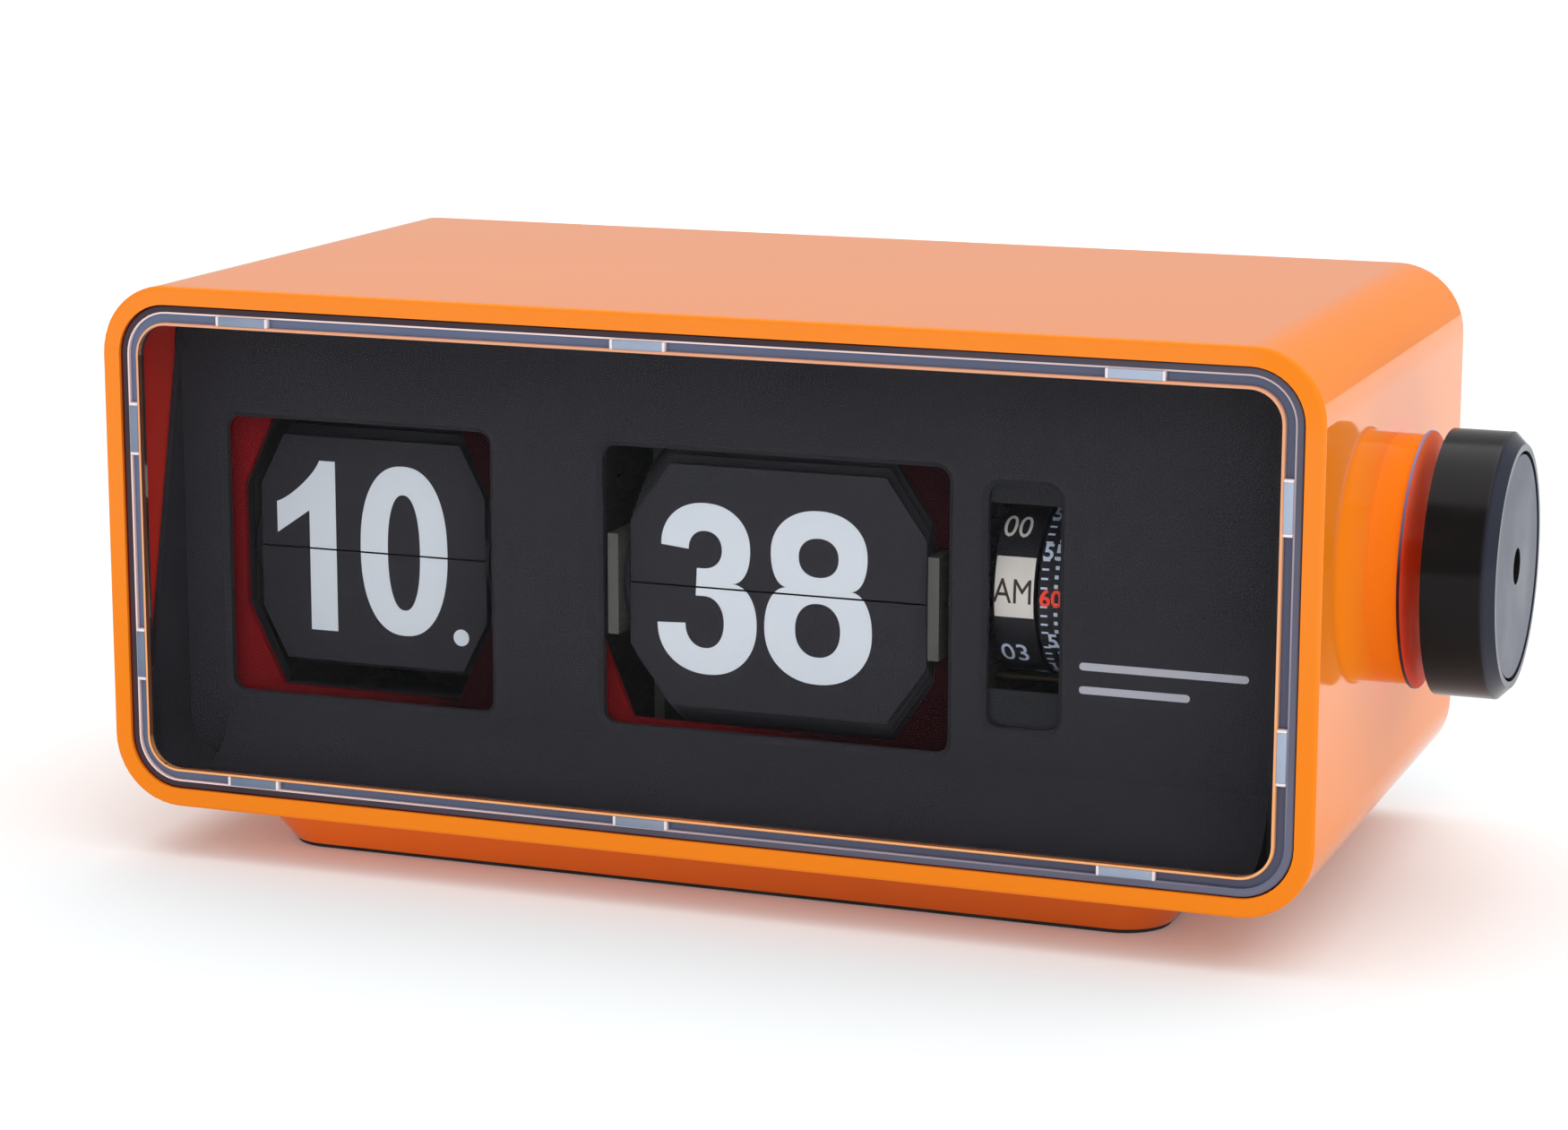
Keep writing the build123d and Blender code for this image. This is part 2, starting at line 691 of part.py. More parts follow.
with BuildPart() as motor_plate:
    block(motor_plate_x, motor_plate_x + motor_plate_thickness, -25.0, plate_back, tray_top, plate_top)
    plate_holes(motor_plate_x)
    rod(motor_plate_x - 1, motor_plate_x + 3, alarm_y, alarm_z, 3.0, mode=Mode.SUBTRACT)
    rod(
        motor_plate_x - 1,
        motor_plate_x + 3,
        reduction_axis[0],
        reduction_axis[1],
        reduction_shaft_radius + running_gap,
        mode=Mode.SUBTRACT,
    )
motor_plate.part.label = "motor_plate"

with BuildPart() as frame_posts:
    for y, z in post_places:
        rod(hour_end_x - 1, motor_plate_x + motor_plate_thickness + 1, y, z, post_radius)
frame_posts.part.label = "frame_posts"

# ---------------------------------------------------------------- minute side
minute_x0 = minute_centre_x - minute_leaf_half
minute_x1 = minute_centre_x + minute_leaf_half
motion_pinion_x = (-35.8, -33.4)
minute_wheel_x = (36.2, 37.4)

with BuildPart() as minute_arbor:
    rod(hour_end_x + 0.3, minute_wheel_x[1] + 0.4, axis_y, axis_z, arbor_radius)
    with BuildSketch(across(motion_pinion_x[0])):
        with BuildLine():
            Polyline(*gear_points(motion_pinion_teeth, motion_module, axis, motion_pinion_phase), close=True)
        make_face()
    extrude(amount=motion_pinion_x[1] - motion_pinion_x[0])
minute_arbor.part.label = "minute_arbor"

with BuildPart() as minute_drum:
    rod(minute_x0, minute_x1, axis_y, axis_z, minute_core_radius)
    rod(minute_x0 - drum_disc, minute_x0, axis_y, axis_z, minute_pivot_radius + drum_disc_lip)
    rod(minute_x1, minute_x1 + drum_disc, axis_y, axis_z, minute_pivot_radius + drum_disc_lip)
    rod(minute_x0 - 1, minute_x1 + 1, axis_y, axis_z, arbor_radius, mode=Mode.SUBTRACT)
minute_drum.part.label = "minute_drum"

with BuildPart() as minute_wheel:
    with BuildSketch(across(minute_wheel_x[0])):
        with BuildLine():
            Polyline(*gear_points(minute_wheel_teeth, minute_wheel_module, axis, minute_wheel_phase), close=True)
        make_face()
    extrude(amount=minute_wheel_x[1] - minute_wheel_x[0])
    rod(minute_wheel_x[0] - 1, minute_wheel_x[1] + 1, axis_y, axis_z, arbor_radius, mode=Mode.SUBTRACT)
minute_wheel.part.label = "minute_wheel"

with BuildPart() as time_set_gear:
    with BuildSketch(across(time_gear_x[0])):
        with BuildLine():
            Polyline(*gear_points(set_gear_teeth, set_module, axis, time_gear_phase), close=True)
        make_face()
    extrude(amount=time_gear_x[1] - time_gear_x[0])
    rod(time_gear_x[0] - 1, time_gear_x[1] + 1, axis_y, axis_z, arbor_radius, mode=Mode.SUBTRACT)
time_set_gear.part.label = "time_set_gear"

minute_plane_y = axis_y - minute_pivot_radius
hour_plane_y = axis_y - hour_pivot_radius
upright_minute = Plane(origin=(minute_centre_x, minute_plane_y, axis_z), x_dir=(1, 0, 0), z_dir=(0, -1, 0))
hanging_minute = Plane(origin=(minute_centre_x, minute_plane_y, axis_z), x_dir=(1, 0, 0), z_dir=(0, 1, 0))
upright_hour = Plane(origin=(hour_centre_x, hour_plane_y, axis_z), x_dir=(1, 0, 0), z_dir=(0, -1, 0))
hanging_hour = Plane(origin=(hour_centre_x, hour_plane_y, axis_z), x_dir=(1, 0, 0), z_dir=(0, 1, 0))

with BuildPart() as minute_top_leaf:
    with BuildSketch(upright_minute):
        with BuildLine():
            half = minute_leaf_half - moving_leaf_gap
            Polyline(*leaf_points(half, minute_leaf_height, minute_leaf_chamfer), close=True)
        make_face()
    extrude(amount=leaf_thickness / 2, both=True)
minute_top_leaf.part.label = "minute_top_leaf"

with BuildPart() as minute_lower_leaf:
    with BuildSketch(hanging_minute):
        with BuildLine():
            Polyline(*leaf_points(minute_leaf_half, minute_leaf_height, minute_leaf_chamfer), close=True)
        make_face()
    extrude(amount=leaf_thickness / 2, both=True)
minute_lower_leaf.part.label = "minute_lower_leaf"

with BuildPart() as minute_leaves:
    for plane in fan_planes(minute_centre_x, minute_pivot_radius, minute_leaf_count):
        with BuildSketch(plane):
            with BuildLine():
                Polyline(*leaf_points(minute_leaf_half, minute_leaf_height, minute_leaf_chamfer), close=True)
            make_face()
        extrude(amount=leaf_thickness / 2, both=True)
minute_leaves.part.label = "minute_leaves"

# ---------------------------------------------------------------- hour side
hour_x0 = hour_centre_x - hour_leaf_half
hour_x1 = hour_centre_x + hour_leaf_half
hour_gear_x = (-39.8, -38.2)
hour_pinion_x = (-40.2, -37.8)
motion_wheel_x = (-35.2, -33.8)
hour_sleeve_radius = 3.0

with BuildPart() as hour_drum:
    rod(hour_end_x + plate_thin + 0.4, hour_gear_x[1] + 0.4, axis_y, axis_z, hour_sleeve_radius)
    rod(hour_x0, hour_x1, axis_y, axis_z, hour_core_radius)
    rod(hour_x0 - drum_disc, hour_x0, axis_y, axis_z, hour_pivot_radius + drum_disc_lip)
    rod(hour_x1, hour_x1 + drum_disc, axis_y, axis_z, hour_pivot_radius + drum_disc_lip)
    with BuildSketch(across(hour_gear_x[0])):
        with BuildLine():
            Polyline(*gear_points(hour_gear_teeth, hour_module, axis, hour_gear_phase), close=True)
        make_face()
    extrude(amount=hour_gear_x[1] - hour_gear_x[0])
    rod(hour_end_x, hour_gear_x[1] + 3, axis_y, axis_z, arbor_radius + running_gap, mode=Mode.SUBTRACT)
hour_drum.part.label = "hour_drum"

with BuildPart() as motion_idler:
    with BuildSketch(across(hour_pinion_x[0])):
        with BuildLine():
            Polyline(*gear_points(hour_pinion_teeth, hour_module, motion_axis, hour_pinion_phase), close=True)
        make_face()
    extrude(amount=hour_pinion_x[1] - hour_pinion_x[0])
    rod(hour_pinion_x[1], motion_wheel_x[0], motion_axis[0], motion_axis[1], 2.2)
    with BuildSketch(across(motion_wheel_x[0])):
        with BuildLine():
            Polyline(*gear_points(motion_wheel_teeth, motion_module, motion_axis, motion_wheel_phase), close=True)
        make_face()
    extrude(amount=motion_wheel_x[1] - motion_wheel_x[0])
    bore = stud_radius + running_gap
    rod(-45.0, -30.0, motion_axis[0], motion_axis[1], bore, mode=Mode.SUBTRACT)
motion_idler.part.label = "motion_idler"

with BuildPart() as hour_top_leaf:
    with BuildSketch(upright_hour):
        with BuildLine():
            half = hour_leaf_half - moving_leaf_gap
            Polyline(*leaf_points(half, hour_leaf_height, hour_leaf_chamfer), close=True)
        make_face()
    extrude(amount=leaf_thickness / 2, both=True)
hour_top_leaf.part.label = "hour_top_leaf"

with BuildPart() as hour_lower_leaf:
    with BuildSketch(hanging_hour):
        with BuildLine():
            Polyline(*leaf_points(hour_leaf_half, hour_leaf_height, hour_leaf_chamfer), close=True)
        make_face()
    extrude(amount=leaf_thickness / 2, both=True)
hour_lower_leaf.part.label = "hour_lower_leaf"

with BuildPart() as hour_leaves:
    for plane in fan_planes(hour_centre_x, hour_pivot_radius, hour_leaf_count):
        with BuildSketch(plane):
            with BuildLine():
                Polyline(*leaf_points(hour_leaf_half, hour_leaf_height, hour_leaf_chamfer), close=True)
            make_face()
        extrude(amount=leaf_thickness / 2, both=True)
hour_leaves.part.label = "hour_leaves"

# ---------------------------------------------------------------- studs and setting wheels
with BuildPart() as gear_studs:
    rod(-41.0, centre_plate_x + plate_thin, motion_axis[0], motion_axis[1], stud_radius)
    for y, z in (time_idler_axis, thumb_axis):
        rod(-36.4, centre_plate_x + plate_thin, y, z, stud_radius)
    rod(bridge_x, alarm_x[1], alarm_axis[0], alarm_axis[1], stud_radius)
    rod(bridge_x, alarm_gear_x[1] + 0.6, alarm_idler_axis[0], alarm_idler_axis[1], stud_radius)
    rod(bridge_x, alarm_thumb_x[1] + 0.6, thumb_axis[0], thumb_axis[1], stud_radius)
gear_studs.part.label = "gear_studs"

with BuildPart() as time_set_idler:
    with BuildSketch(across(time_gear_x[0])):
        with BuildLine():
            Polyline(*gear_points(time_idler_teeth, set_module, time_idler_axis, time_idler_phase), close=True)
        make_face()
    extrude(amount=time_gear_x[1] - time_gear_x[0])
    rod(-34.0, -30.0, time_idler_axis[0], time_idler_axis[1], stud_radius + running_gap, mode=Mode.SUBTRACT)
time_set_idler.part.label = "time_set_idler"

with BuildPart() as time_set_wheel:
    with BuildSketch(across(time_gear_x[0])):
        with BuildLine():
            Polyline(*gear_points(set_wheel_teeth, set_module, thumb_axis, time_wheel_phase), close=True)
        make_face()
    extrude(amount=time_gear_x[1] - time_gear_x[0])
    rod(time_thumb_x[1], time_gear_x[0], thumb_y, thumb_z, 4.0)
    rod(time_thumb_x[0], time_thumb_x[1], thumb_y, thumb_z, thumb_radius)
    with Locations(*[Location((sum(time_thumb_x) / 2,
                               thumb_y + thumb_radius * math.cos(2 * math.pi * k / knurl_count),
                               thumb_z + thumb_radius * math.sin(2 * math.pi * k / knurl_count)), (0, 90, 0))
                     for k in range(knurl_count)]):
        Cylinder(knurl_depth, thumb_width)
    rod(-37.0, -30.0, thumb_y, thumb_z, stud_radius + running_gap, mode=Mode.SUBTRACT)
time_set_wheel.part.label = "time_set_wheel"

with BuildPart() as alarm_idler:
    with BuildSketch(across(alarm_gear_x[0])):
        with BuildLine():
            Polyline(*gear_points(alarm_idler_teeth, set_module, alarm_idler_axis, alarm_idler_phase), close=True)
        make_face()
    extrude(amount=alarm_gear_x[1] - alarm_gear_x[0])
    rod(40.0, 44.0, alarm_idler_axis[0], alarm_idler_axis[1], stud_radius + running_gap, mode=Mode.SUBTRACT)
alarm_idler.part.label = "alarm_idler"

with BuildPart() as alarm_set_wheel:
    with BuildSketch(across(alarm_gear_x[0])):
        with BuildLine():
            Polyline(*gear_points(set_wheel_teeth, set_module, thumb_axis, alarm_wheel_phase), close=True)
        make_face()
    extrude(amount=alarm_thumb_x[0] - alarm_gear_x[0])
    rod(alarm_thumb_x[0], alarm_thumb_x[1], thumb_y, thumb_z, thumb_radius)
    with Locations(*[Location((sum(alarm_thumb_x) / 2,
                               thumb_y + thumb_radius * math.cos(2 * math.pi * k / knurl_count),
                               thumb_z + thumb_radius * math.sin(2 * math.pi * k / knurl_count)), (0, 90, 0))
                     for k in range(knurl_count)]):
        Cylinder(knurl_depth, thumb_width)
    rod(40.0, 46.0, thumb_y, thumb_z, stud_radius + running_gap, mode=Mode.SUBTRACT)
alarm_set_wheel.part.label = "alarm_set_wheel"

# ---------------------------------------------------------------- alarm drum, seconds wheel, motor
drum_web = 1.2
with BuildPart() as alarm_drum:
    rod(alarm_x[0], alarm_x[1], alarm_y, alarm_z, alarm_radius)
    rod(alarm_x[0] + drum_web, alarm_x[1] + 1, alarm_y, alarm_z, alarm_radius - drum_rim, mode=Mode.SUBTRACT)
    rod(alarm_gear_x[1], alarm_x[1] - 0.3, alarm_y, alarm_z, 3.0)
    with BuildSketch(across(alarm_gear_x[0])):
        with BuildLine():
            Polyline(*gear_points(set_gear_teeth, set_module, alarm_axis, alarm_gear_phase), close=True)
        make_face()
    extrude(amount=alarm_gear_x[1] - alarm_gear_x[0])
    rod(alarm_gear_x[0] - 1, alarm_x[1] + 1, alarm_y, alarm_z, stud_radius + running_gap, mode=Mode.SUBTRACT)
alarm_drum.part.label = "alarm_drum"

seconds_pinion_x = (55.3, 56.9)
reduction_wheel_x = (55.6, 56.6)
small_pinion_x = (36.0, 37.8)
motor_x = (motor_plate_x + motor_plate_thickness, 74.0)
motor_radius = 14.5
seconds_shaft_radius = 0.8

with BuildPart() as seconds_wheel:
    rod(seconds_x[0], seconds_x[1], alarm_y, alarm_z, alarm_radius - 0.2)
    rod(seconds_x[0] + drum_web, seconds_x[1] + 1, alarm_y, alarm_z, alarm_radius - 0.2 - drum_rim,
        mode=Mode.SUBTRACT)
    rod(seconds_x[0], motor_x[0] + 4, alarm_y, alarm_z, seconds_shaft_radius)
    with BuildSketch(across(seconds_pinion_x[0])):
        with BuildLine():
            Polyline(*gear_points(small_pinion_teeth, reduction_module, alarm_axis, seconds_pinion_phase), close=True)
        make_face()
    extrude(amount=seconds_pinion_x[1] - seconds_pinion_x[0])
seconds_wheel.part.label = "seconds_wheel"

with BuildPart() as reduction_wheel:
    rod(small_pinion_x[0] - 0.3, motor_plate_x + motor_plate_thickness, reduction_axis[0], reduction_axis[1],
        reduction_shaft_radius)
    with BuildSketch(across(reduction_wheel_x[0])):
        with BuildLine():
            Polyline(*gear_points(reduction_teeth, reduction_module, reduction_axis, reduction_phase), close=True)
        make_face()
    extrude(amount=reduction_wheel_x[1] - reduction_wheel_x[0])
    with BuildSketch(across(small_pinion_x[0])):
        with BuildLine():
            Polyline(*gear_points(small_pinion_teeth, minute_wheel_module, reduction_axis, small_pinion_phase),
                     close=True)
        make_face()
    extrude(amount=small_pinion_x[1] - small_pinion_x[0])
reduction_wheel.part.label = "reduction_wheel"

with BuildPart() as synchronous_motor:
    rod(motor_x[0], motor_x[1], alarm_y, alarm_z, motor_radius)
    block(motor_x[0] + 3, motor_x[1] - 3, alarm_y + 12, alarm_y + 18.5, alarm_z - 5, alarm_z + 5)
    rod(motor_x[0] - 1, motor_x[0] + 5, alarm_y, alarm_z, seconds_shaft_radius + running_gap, mode=Mode.SUBTRACT)
synchronous_motor.part.label = "synchronous_motor"

switch_z = 72.0
with BuildPart() as alarm_switch:
    block(bridge_x + bridge_thickness, 48.0, -2.0, 9.0, switch_z, switch_z + 7)
alarm_switch.part.label = "alarm_switch"

lever_y = 12.0
lever_length = 26.0
with BuildPart() as alarm_lever:
    block(44.0, 48.0, lever_y - lever_length, lever_y + 1.5, switch_z - 1.6, switch_z - 1.0)
    rod(42.0, 48.0, lever_y + 1.5, switch_z - 1.3, 0.9)
alarm_lever.part.label = "alarm_lever"

with BuildPart() as lever_bracket:
    block(bridge_x + bridge_thickness, 41.8, lever_y - 1.0, lever_y + 4.0, switch_z - 4.0, switch_z + 1.4)
    block(48.2, 49.4, lever_y - 1.0, lever_y + 4.0, switch_z - 4.0, switch_z + 4.0)
    block(bridge_x + bridge_thickness, 49.4, lever_y + 3.0, lever_y + 4.0, switch_z - 4.0, switch_z + 1.4)
lever_bracket.part.label = "lever_bracket"

# ---------------------------------------------------------------- radio side
capacitor_x = (75.0, board_x)
with BuildPart() as circuit_board:
    block(board_x, board_x + board_thickness, -24.0, 44.0, 16.0, 88.0)
    rod(board_x - 1, board_x + 3, knob_y, knob_z, 5.0, mode=Mode.SUBTRACT)
circuit_board.part.label = "circuit_board"

with BuildPart() as tuning_capacitor:
    block(capacitor_x[0], capacitor_x[1], knob_y - 10, knob_y + 10, knob_z - 10, knob_z + 10)
    rod(capacitor_x[0] + 2, board_x + 1, knob_y, knob_z, shaft_radius + running_gap, mode=Mode.SUBTRACT)
tuning_capacitor.part.label = "tuning_capacitor"

with BuildPart() as board_capacitors:
    for y, z, radius, length in ((22.0, 66.0, 6.0, 14.0), (22.0, 50.0, 5.0, 12.0), (34.0, 66.0, 4.0, 10.0),
                                 (-18.0, 30.0, 4.0, 9.0)):
        rod(board_x - length, board_x, y, z, radius)
board_capacitors.part.label = "board_capacitors"

with BuildPart() as aerial_rod:
    rod(20.0, board_x - 1, 38.0, 86.5, 3.5)
    block(78.0, 82.0, 35.0, 41.0, 79.8, 84.0)
    block(78.0, board_x, 37.0, 39.0, 79.8, 82.0)
aerial_rod.part.label = "aerial_rod"

with BuildPart() as volume_control:
    rod(81.0, board_x, volume_y, volume_z, 6.5)
    rod(80.0, board_x - 2, volume_y, volume_z, shaft_radius - 1 + running_gap, mode=Mode.SUBTRACT)
volume_control.part.label = "volume_control"

with BuildPart() as volume_wheel:
    rod(volume_x[0], volume_x[1], volume_y, volume_z, volume_radius)
    with Locations(*[Location((sum(volume_x) / 2,
                               volume_y + volume_radius * math.cos(2 * math.pi * k / knurl_count),
                               volume_z + volume_radius * math.sin(2 * math.pi * k / knurl_count)), (0, 90, 0))
                     for k in range(knurl_count)]):
        Cylinder(knurl_depth, volume_x[1] - volume_x[0])
    rod(volume_x[1], board_x - 2.2, volume_y, volume_z, shaft_radius - 1)
volume_wheel.part.label = "volume_wheel"

with BuildPart() as function_switch:
    block(slider_x - 6, slider_x + 6, cover_front_y - 5, cover_front_y, slider_z - 6, slider_z + slider_travel + 6)
    block(
        slider_x - slider_width / 2 - 0.2,
        slider_x + slider_width / 2 + 0.2,
        cover_front_y - 3.2,
        cover_front_y + 1,
        slider_z - slider_height / 2 - 0.3,
        slider_z + slider_height / 2 + slider_travel + 0.3,
        mode=Mode.SUBTRACT,
    )
function_switch.part.label = "function_switch"

with BuildPart() as function_slider:
    block(
        slider_x - slider_width / 2,
        slider_x + slider_width / 2,
        cover_front_y - 3.0,
        back_y,
        slider_z - slider_height / 2,
        slider_z + slider_height / 2,
    )
function_slider.part.label = "function_slider"

# ---------------------------------------------------------------- power and sound
core_centre = (4.0, 36.5)
core_size = (28.0, 14.0, 27.0)
core_leg = 8.0
core_window = 6.0
core_window_height = 16.0
coil_depth = 19.0
core_mid_z = tray_top + core_size[2] / 2
with BuildPart() as transformer_core:
    with Locations((core_centre[0], core_centre[1], core_mid_z)):
        Box(*core_size)
    for side in (-1, 1):
        with Locations((core_centre[0] + side * (core_leg + core_window) / 2, core_centre[1], core_mid_z)):
            Box(core_window, core_size[1] + 2, core_window_height, mode=Mode.SUBTRACT)
transformer_core.part.label = "transformer_core"

with BuildPart() as transformer_coil:
    with Locations((core_centre[0], core_centre[1], core_mid_z)):
        Box(core_leg + 2 * core_window - 0.2, coil_depth, core_window_height - 0.2)
        Box(core_leg, core_size[1], core_window_height, mode=Mode.SUBTRACT)
transformer_coil.part.label = "transformer_coil"

speaker_radius = 23.5
with BuildPart() as speaker_basket:
    rod_y(cover_front_y - 3, cover_front_y, grille_x, grille_z, speaker_radius)
    with BuildSketch(facing(cover_front_y - 3)):
        with Locations((grille_x, grille_z)):
            Circle(speaker_radius - 1)
    with BuildSketch(facing(cover_front_y - 14)):
        with Locations((grille_x, grille_z)):
            Circle(11.0)
    loft()
    rod_y(cover_front_y - 20, cover_front_y - 14, grille_x, grille_z, 13.0)
    with BuildSketch(facing(cover_front_y)):
        with Locations((grille_x, grille_z)):
            Circle(speaker_radius - 1.5)
    with BuildSketch(facing(cover_front_y - 12.5)):
        with Locations((grille_x, grille_z)):
            Circle(9.0)
    loft(mode=Mode.SUBTRACT)
speaker_basket.part.label = "speaker_basket"

with BuildPart() as speaker_cone:
    with BuildSketch(facing(cover_front_y - 2.0)):
        with Locations((grille_x, grille_z)):
            Circle(19.0)
    with BuildSketch(facing(cover_front_y - 12.5)):
        with Locations((grille_x, grille_z)):
            Circle(6.0)
    loft()
    with BuildSketch(facing(cover_front_y - 2.0)):
        with Locations((grille_x, grille_z)):
            Circle(18.2)
    with BuildSketch(facing(cover_front_y - 11.5)):
        with Locations((grille_x, grille_z)):
            Circle(5.0)
    loft(mode=Mode.SUBTRACT)
speaker_cone.part.label = "speaker_cone"

# ---------------------------------------------------------------- side knob
with BuildPart() as dial_disc:
    rod(dial_x[0], dial_x[1], knob_y, knob_z, dial_radius)
    rod(case_width / 2, dial_x[0], knob_y, knob_z, dial_collar_radius)
    rod(case_width / 2 - 1, dial_x[1] + 1, knob_y, knob_z, dial_bore, mode=Mode.SUBTRACT)
dial_disc.part.label = "dial_disc"

with BuildPart() as tuning_shaft:
    rod(capacitor_x[0] + 2.2, knob_front_x - knob_recess, knob_y, knob_z, shaft_radius)
tuning_shaft.part.label = "tuning_shaft"

with BuildPart() as knob_ring:
    with BuildSketch(across(knob_back_x)):
        with Locations((knob_y, knob_z)):
            Circle(knob_radius)
    extrude(amount=knob_front_x - knob_back_x)
    chamfer(knob_ring.faces().sort_by(Axis.X)[-1].edges(), knob_chamfer)
    rod(knob_front_x - knob_recess, knob_front_x + 1, knob_y, knob_z, knob_recess_radius, mode=Mode.SUBTRACT)
    rod(knob_back_x - 1, knob_front_x, knob_y, knob_z, shaft_radius, mode=Mode.SUBTRACT)
knob_ring.part.label = "knob_ring"

with BuildPart() as knob_face_disc:
    rod(knob_front_x - knob_recess, knob_front_x - 0.2, knob_y, knob_z, face_disc_radius)
    rod(knob_front_x - knob_recess - 1, knob_front_x + 1, knob_y, knob_z, face_disc_hole, mode=Mode.SUBTRACT)
knob_face_disc.part.label = "knob_face_disc"

# ---------------------------------------------------------------- export
pieces = [
    case_sleeve, pedestal_base, base_pad, base_screws, front_lens, front_panel, alarm_window_mask,
    display_surround, hour_light_baffle, rear_cover, rear_screws, cord_gland, movement_tray, hour_end_plate,
    centre_plate, minute_plates, alarm_bridge_plate, motor_plate, frame_posts, minute_arbor, minute_drum,
    minute_wheel, time_set_gear, minute_top_leaf, minute_lower_leaf, minute_leaves, hour_drum, motion_idler,
    hour_top_leaf, hour_lower_leaf, hour_leaves, gear_studs, time_set_idler, time_set_wheel, alarm_idler,
    alarm_set_wheel, alarm_drum, seconds_wheel, reduction_wheel, synchronous_motor, alarm_switch, alarm_lever,
    lever_bracket, circuit_board, tuning_capacitor, board_capacitors, aerial_rod, volume_control, volume_wheel,
    function_switch, function_slider, transformer_core, transformer_coil, speaker_basket, speaker_cone,
    dial_disc, tuning_shaft, knob_ring, knob_face_disc,
]
for piece in pieces:
    export_step(piece.part, f"parts/{piece.part.label}.step")
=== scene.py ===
"""Looks for the flip number clock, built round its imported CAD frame.

Lengths are in mm and are turned to metres by MM, unless a comment says otherwise.
"""
import bpy
import bmesh
import math
from mathutils import Matrix, Vector


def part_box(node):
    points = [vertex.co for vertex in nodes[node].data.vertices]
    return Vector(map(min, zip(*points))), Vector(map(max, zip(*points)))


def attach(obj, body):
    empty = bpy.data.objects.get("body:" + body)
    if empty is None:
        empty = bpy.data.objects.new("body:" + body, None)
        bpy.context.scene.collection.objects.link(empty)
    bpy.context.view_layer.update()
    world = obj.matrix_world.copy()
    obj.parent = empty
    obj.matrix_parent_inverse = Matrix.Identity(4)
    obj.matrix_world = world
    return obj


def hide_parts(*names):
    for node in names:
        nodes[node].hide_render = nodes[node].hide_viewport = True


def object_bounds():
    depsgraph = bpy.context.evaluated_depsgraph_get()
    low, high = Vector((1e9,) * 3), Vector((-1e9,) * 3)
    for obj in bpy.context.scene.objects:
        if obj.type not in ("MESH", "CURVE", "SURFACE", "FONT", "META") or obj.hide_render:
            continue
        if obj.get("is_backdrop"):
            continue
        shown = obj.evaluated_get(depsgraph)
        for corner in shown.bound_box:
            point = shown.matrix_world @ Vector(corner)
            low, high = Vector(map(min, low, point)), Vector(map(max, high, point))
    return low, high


MM = 0.001

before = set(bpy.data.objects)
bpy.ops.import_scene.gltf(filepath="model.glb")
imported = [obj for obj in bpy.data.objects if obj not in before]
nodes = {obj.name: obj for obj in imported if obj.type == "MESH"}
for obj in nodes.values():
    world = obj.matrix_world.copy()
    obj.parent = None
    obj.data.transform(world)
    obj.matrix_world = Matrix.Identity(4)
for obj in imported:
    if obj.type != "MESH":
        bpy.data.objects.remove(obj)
cad_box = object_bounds()
scene = bpy.context.scene

# ---------------------------------------------------------------- camera
CAMERA_PLACE = Vector((223.03, -599.9, 177.83)) * MM
CAMERA_AZIMUTH = math.radians(20.57)
CAMERA_ELEVATION = math.radians(11.66)
CAMERA_ROLL = math.radians(0.10)
CAMERA_LENS = 90.53
SENSOR_WIDTH = 36.0
CLIP_NEAR = 10.0
CLIP_FAR = 20000.0

camera_data = bpy.data.cameras.new("camera")
camera_data.lens = CAMERA_LENS
camera_data.sensor_width = SENSOR_WIDTH
camera_data.clip_start = CLIP_NEAR * MM
camera_data.clip_end = CLIP_FAR * MM
camera = bpy.data.objects.new("camera", camera_data)
scene.collection.objects.link(camera)
backward = Vector((
    math.sin(CAMERA_AZIMUTH) * math.cos(CAMERA_ELEVATION),
    -math.cos(CAMERA_AZIMUTH) * math.cos(CAMERA_ELEVATION),
    math.sin(CAMERA_ELEVATION),
))
right = Vector((0, 0, 1)).cross(backward).normalized()
upright = Matrix((right, backward.cross(right), backward)).transposed()
turned = Matrix.Rotation(CAMERA_ROLL, 3, backward) @ upright
camera.matrix_world = Matrix.Translation(CAMERA_PLACE) @ turned.to_4x4()
scene.camera = camera
scene.view_settings.view_transform = "Standard"
scene.view_settings.look = "None"


# ---------------------------------------------------------------- materials
# Sockets of a Mix node that blends two colours.
MIX_FACTOR = 0
MIX_LOW = 6
MIX_HIGH = 7
MIX_RESULT = 2

SLOW_DETAIL = 4.0
FINE_DETAIL = 3.0
NOISE_LOW = 0.3
NOISE_HIGH = 0.7
FADE_NOISE = 0.25
COAT_ROUGHNESS = 0.03


def shade(colour, factor):
    """The colour made lighter or darker."""
    return tuple(min(1.0, c * factor) for c in colour)


def maths(tree, operation, *values):
    """Math node fed by numbers or sockets; gives its output socket."""
    node = tree.nodes.new("ShaderNodeMath")
    node.operation = operation
    for socket, value in zip(node.inputs, values):
        if isinstance(value, (int, float)):
            socket.default_value = value
        else:
            tree.links.new(value, socket)
    return node.outputs[0]


def vector_maths(tree, operation, first, second=(0.0, 0.0, 0.0)):
    node = tree.nodes.new("ShaderNodeVectorMath")
    node.operation = operation
    tree.links.new(first, node.inputs[0])
    node.inputs[1].default_value = second
    return node.outputs["Value" if operation in ("DOT_PRODUCT", "LENGTH") else "Vector"]


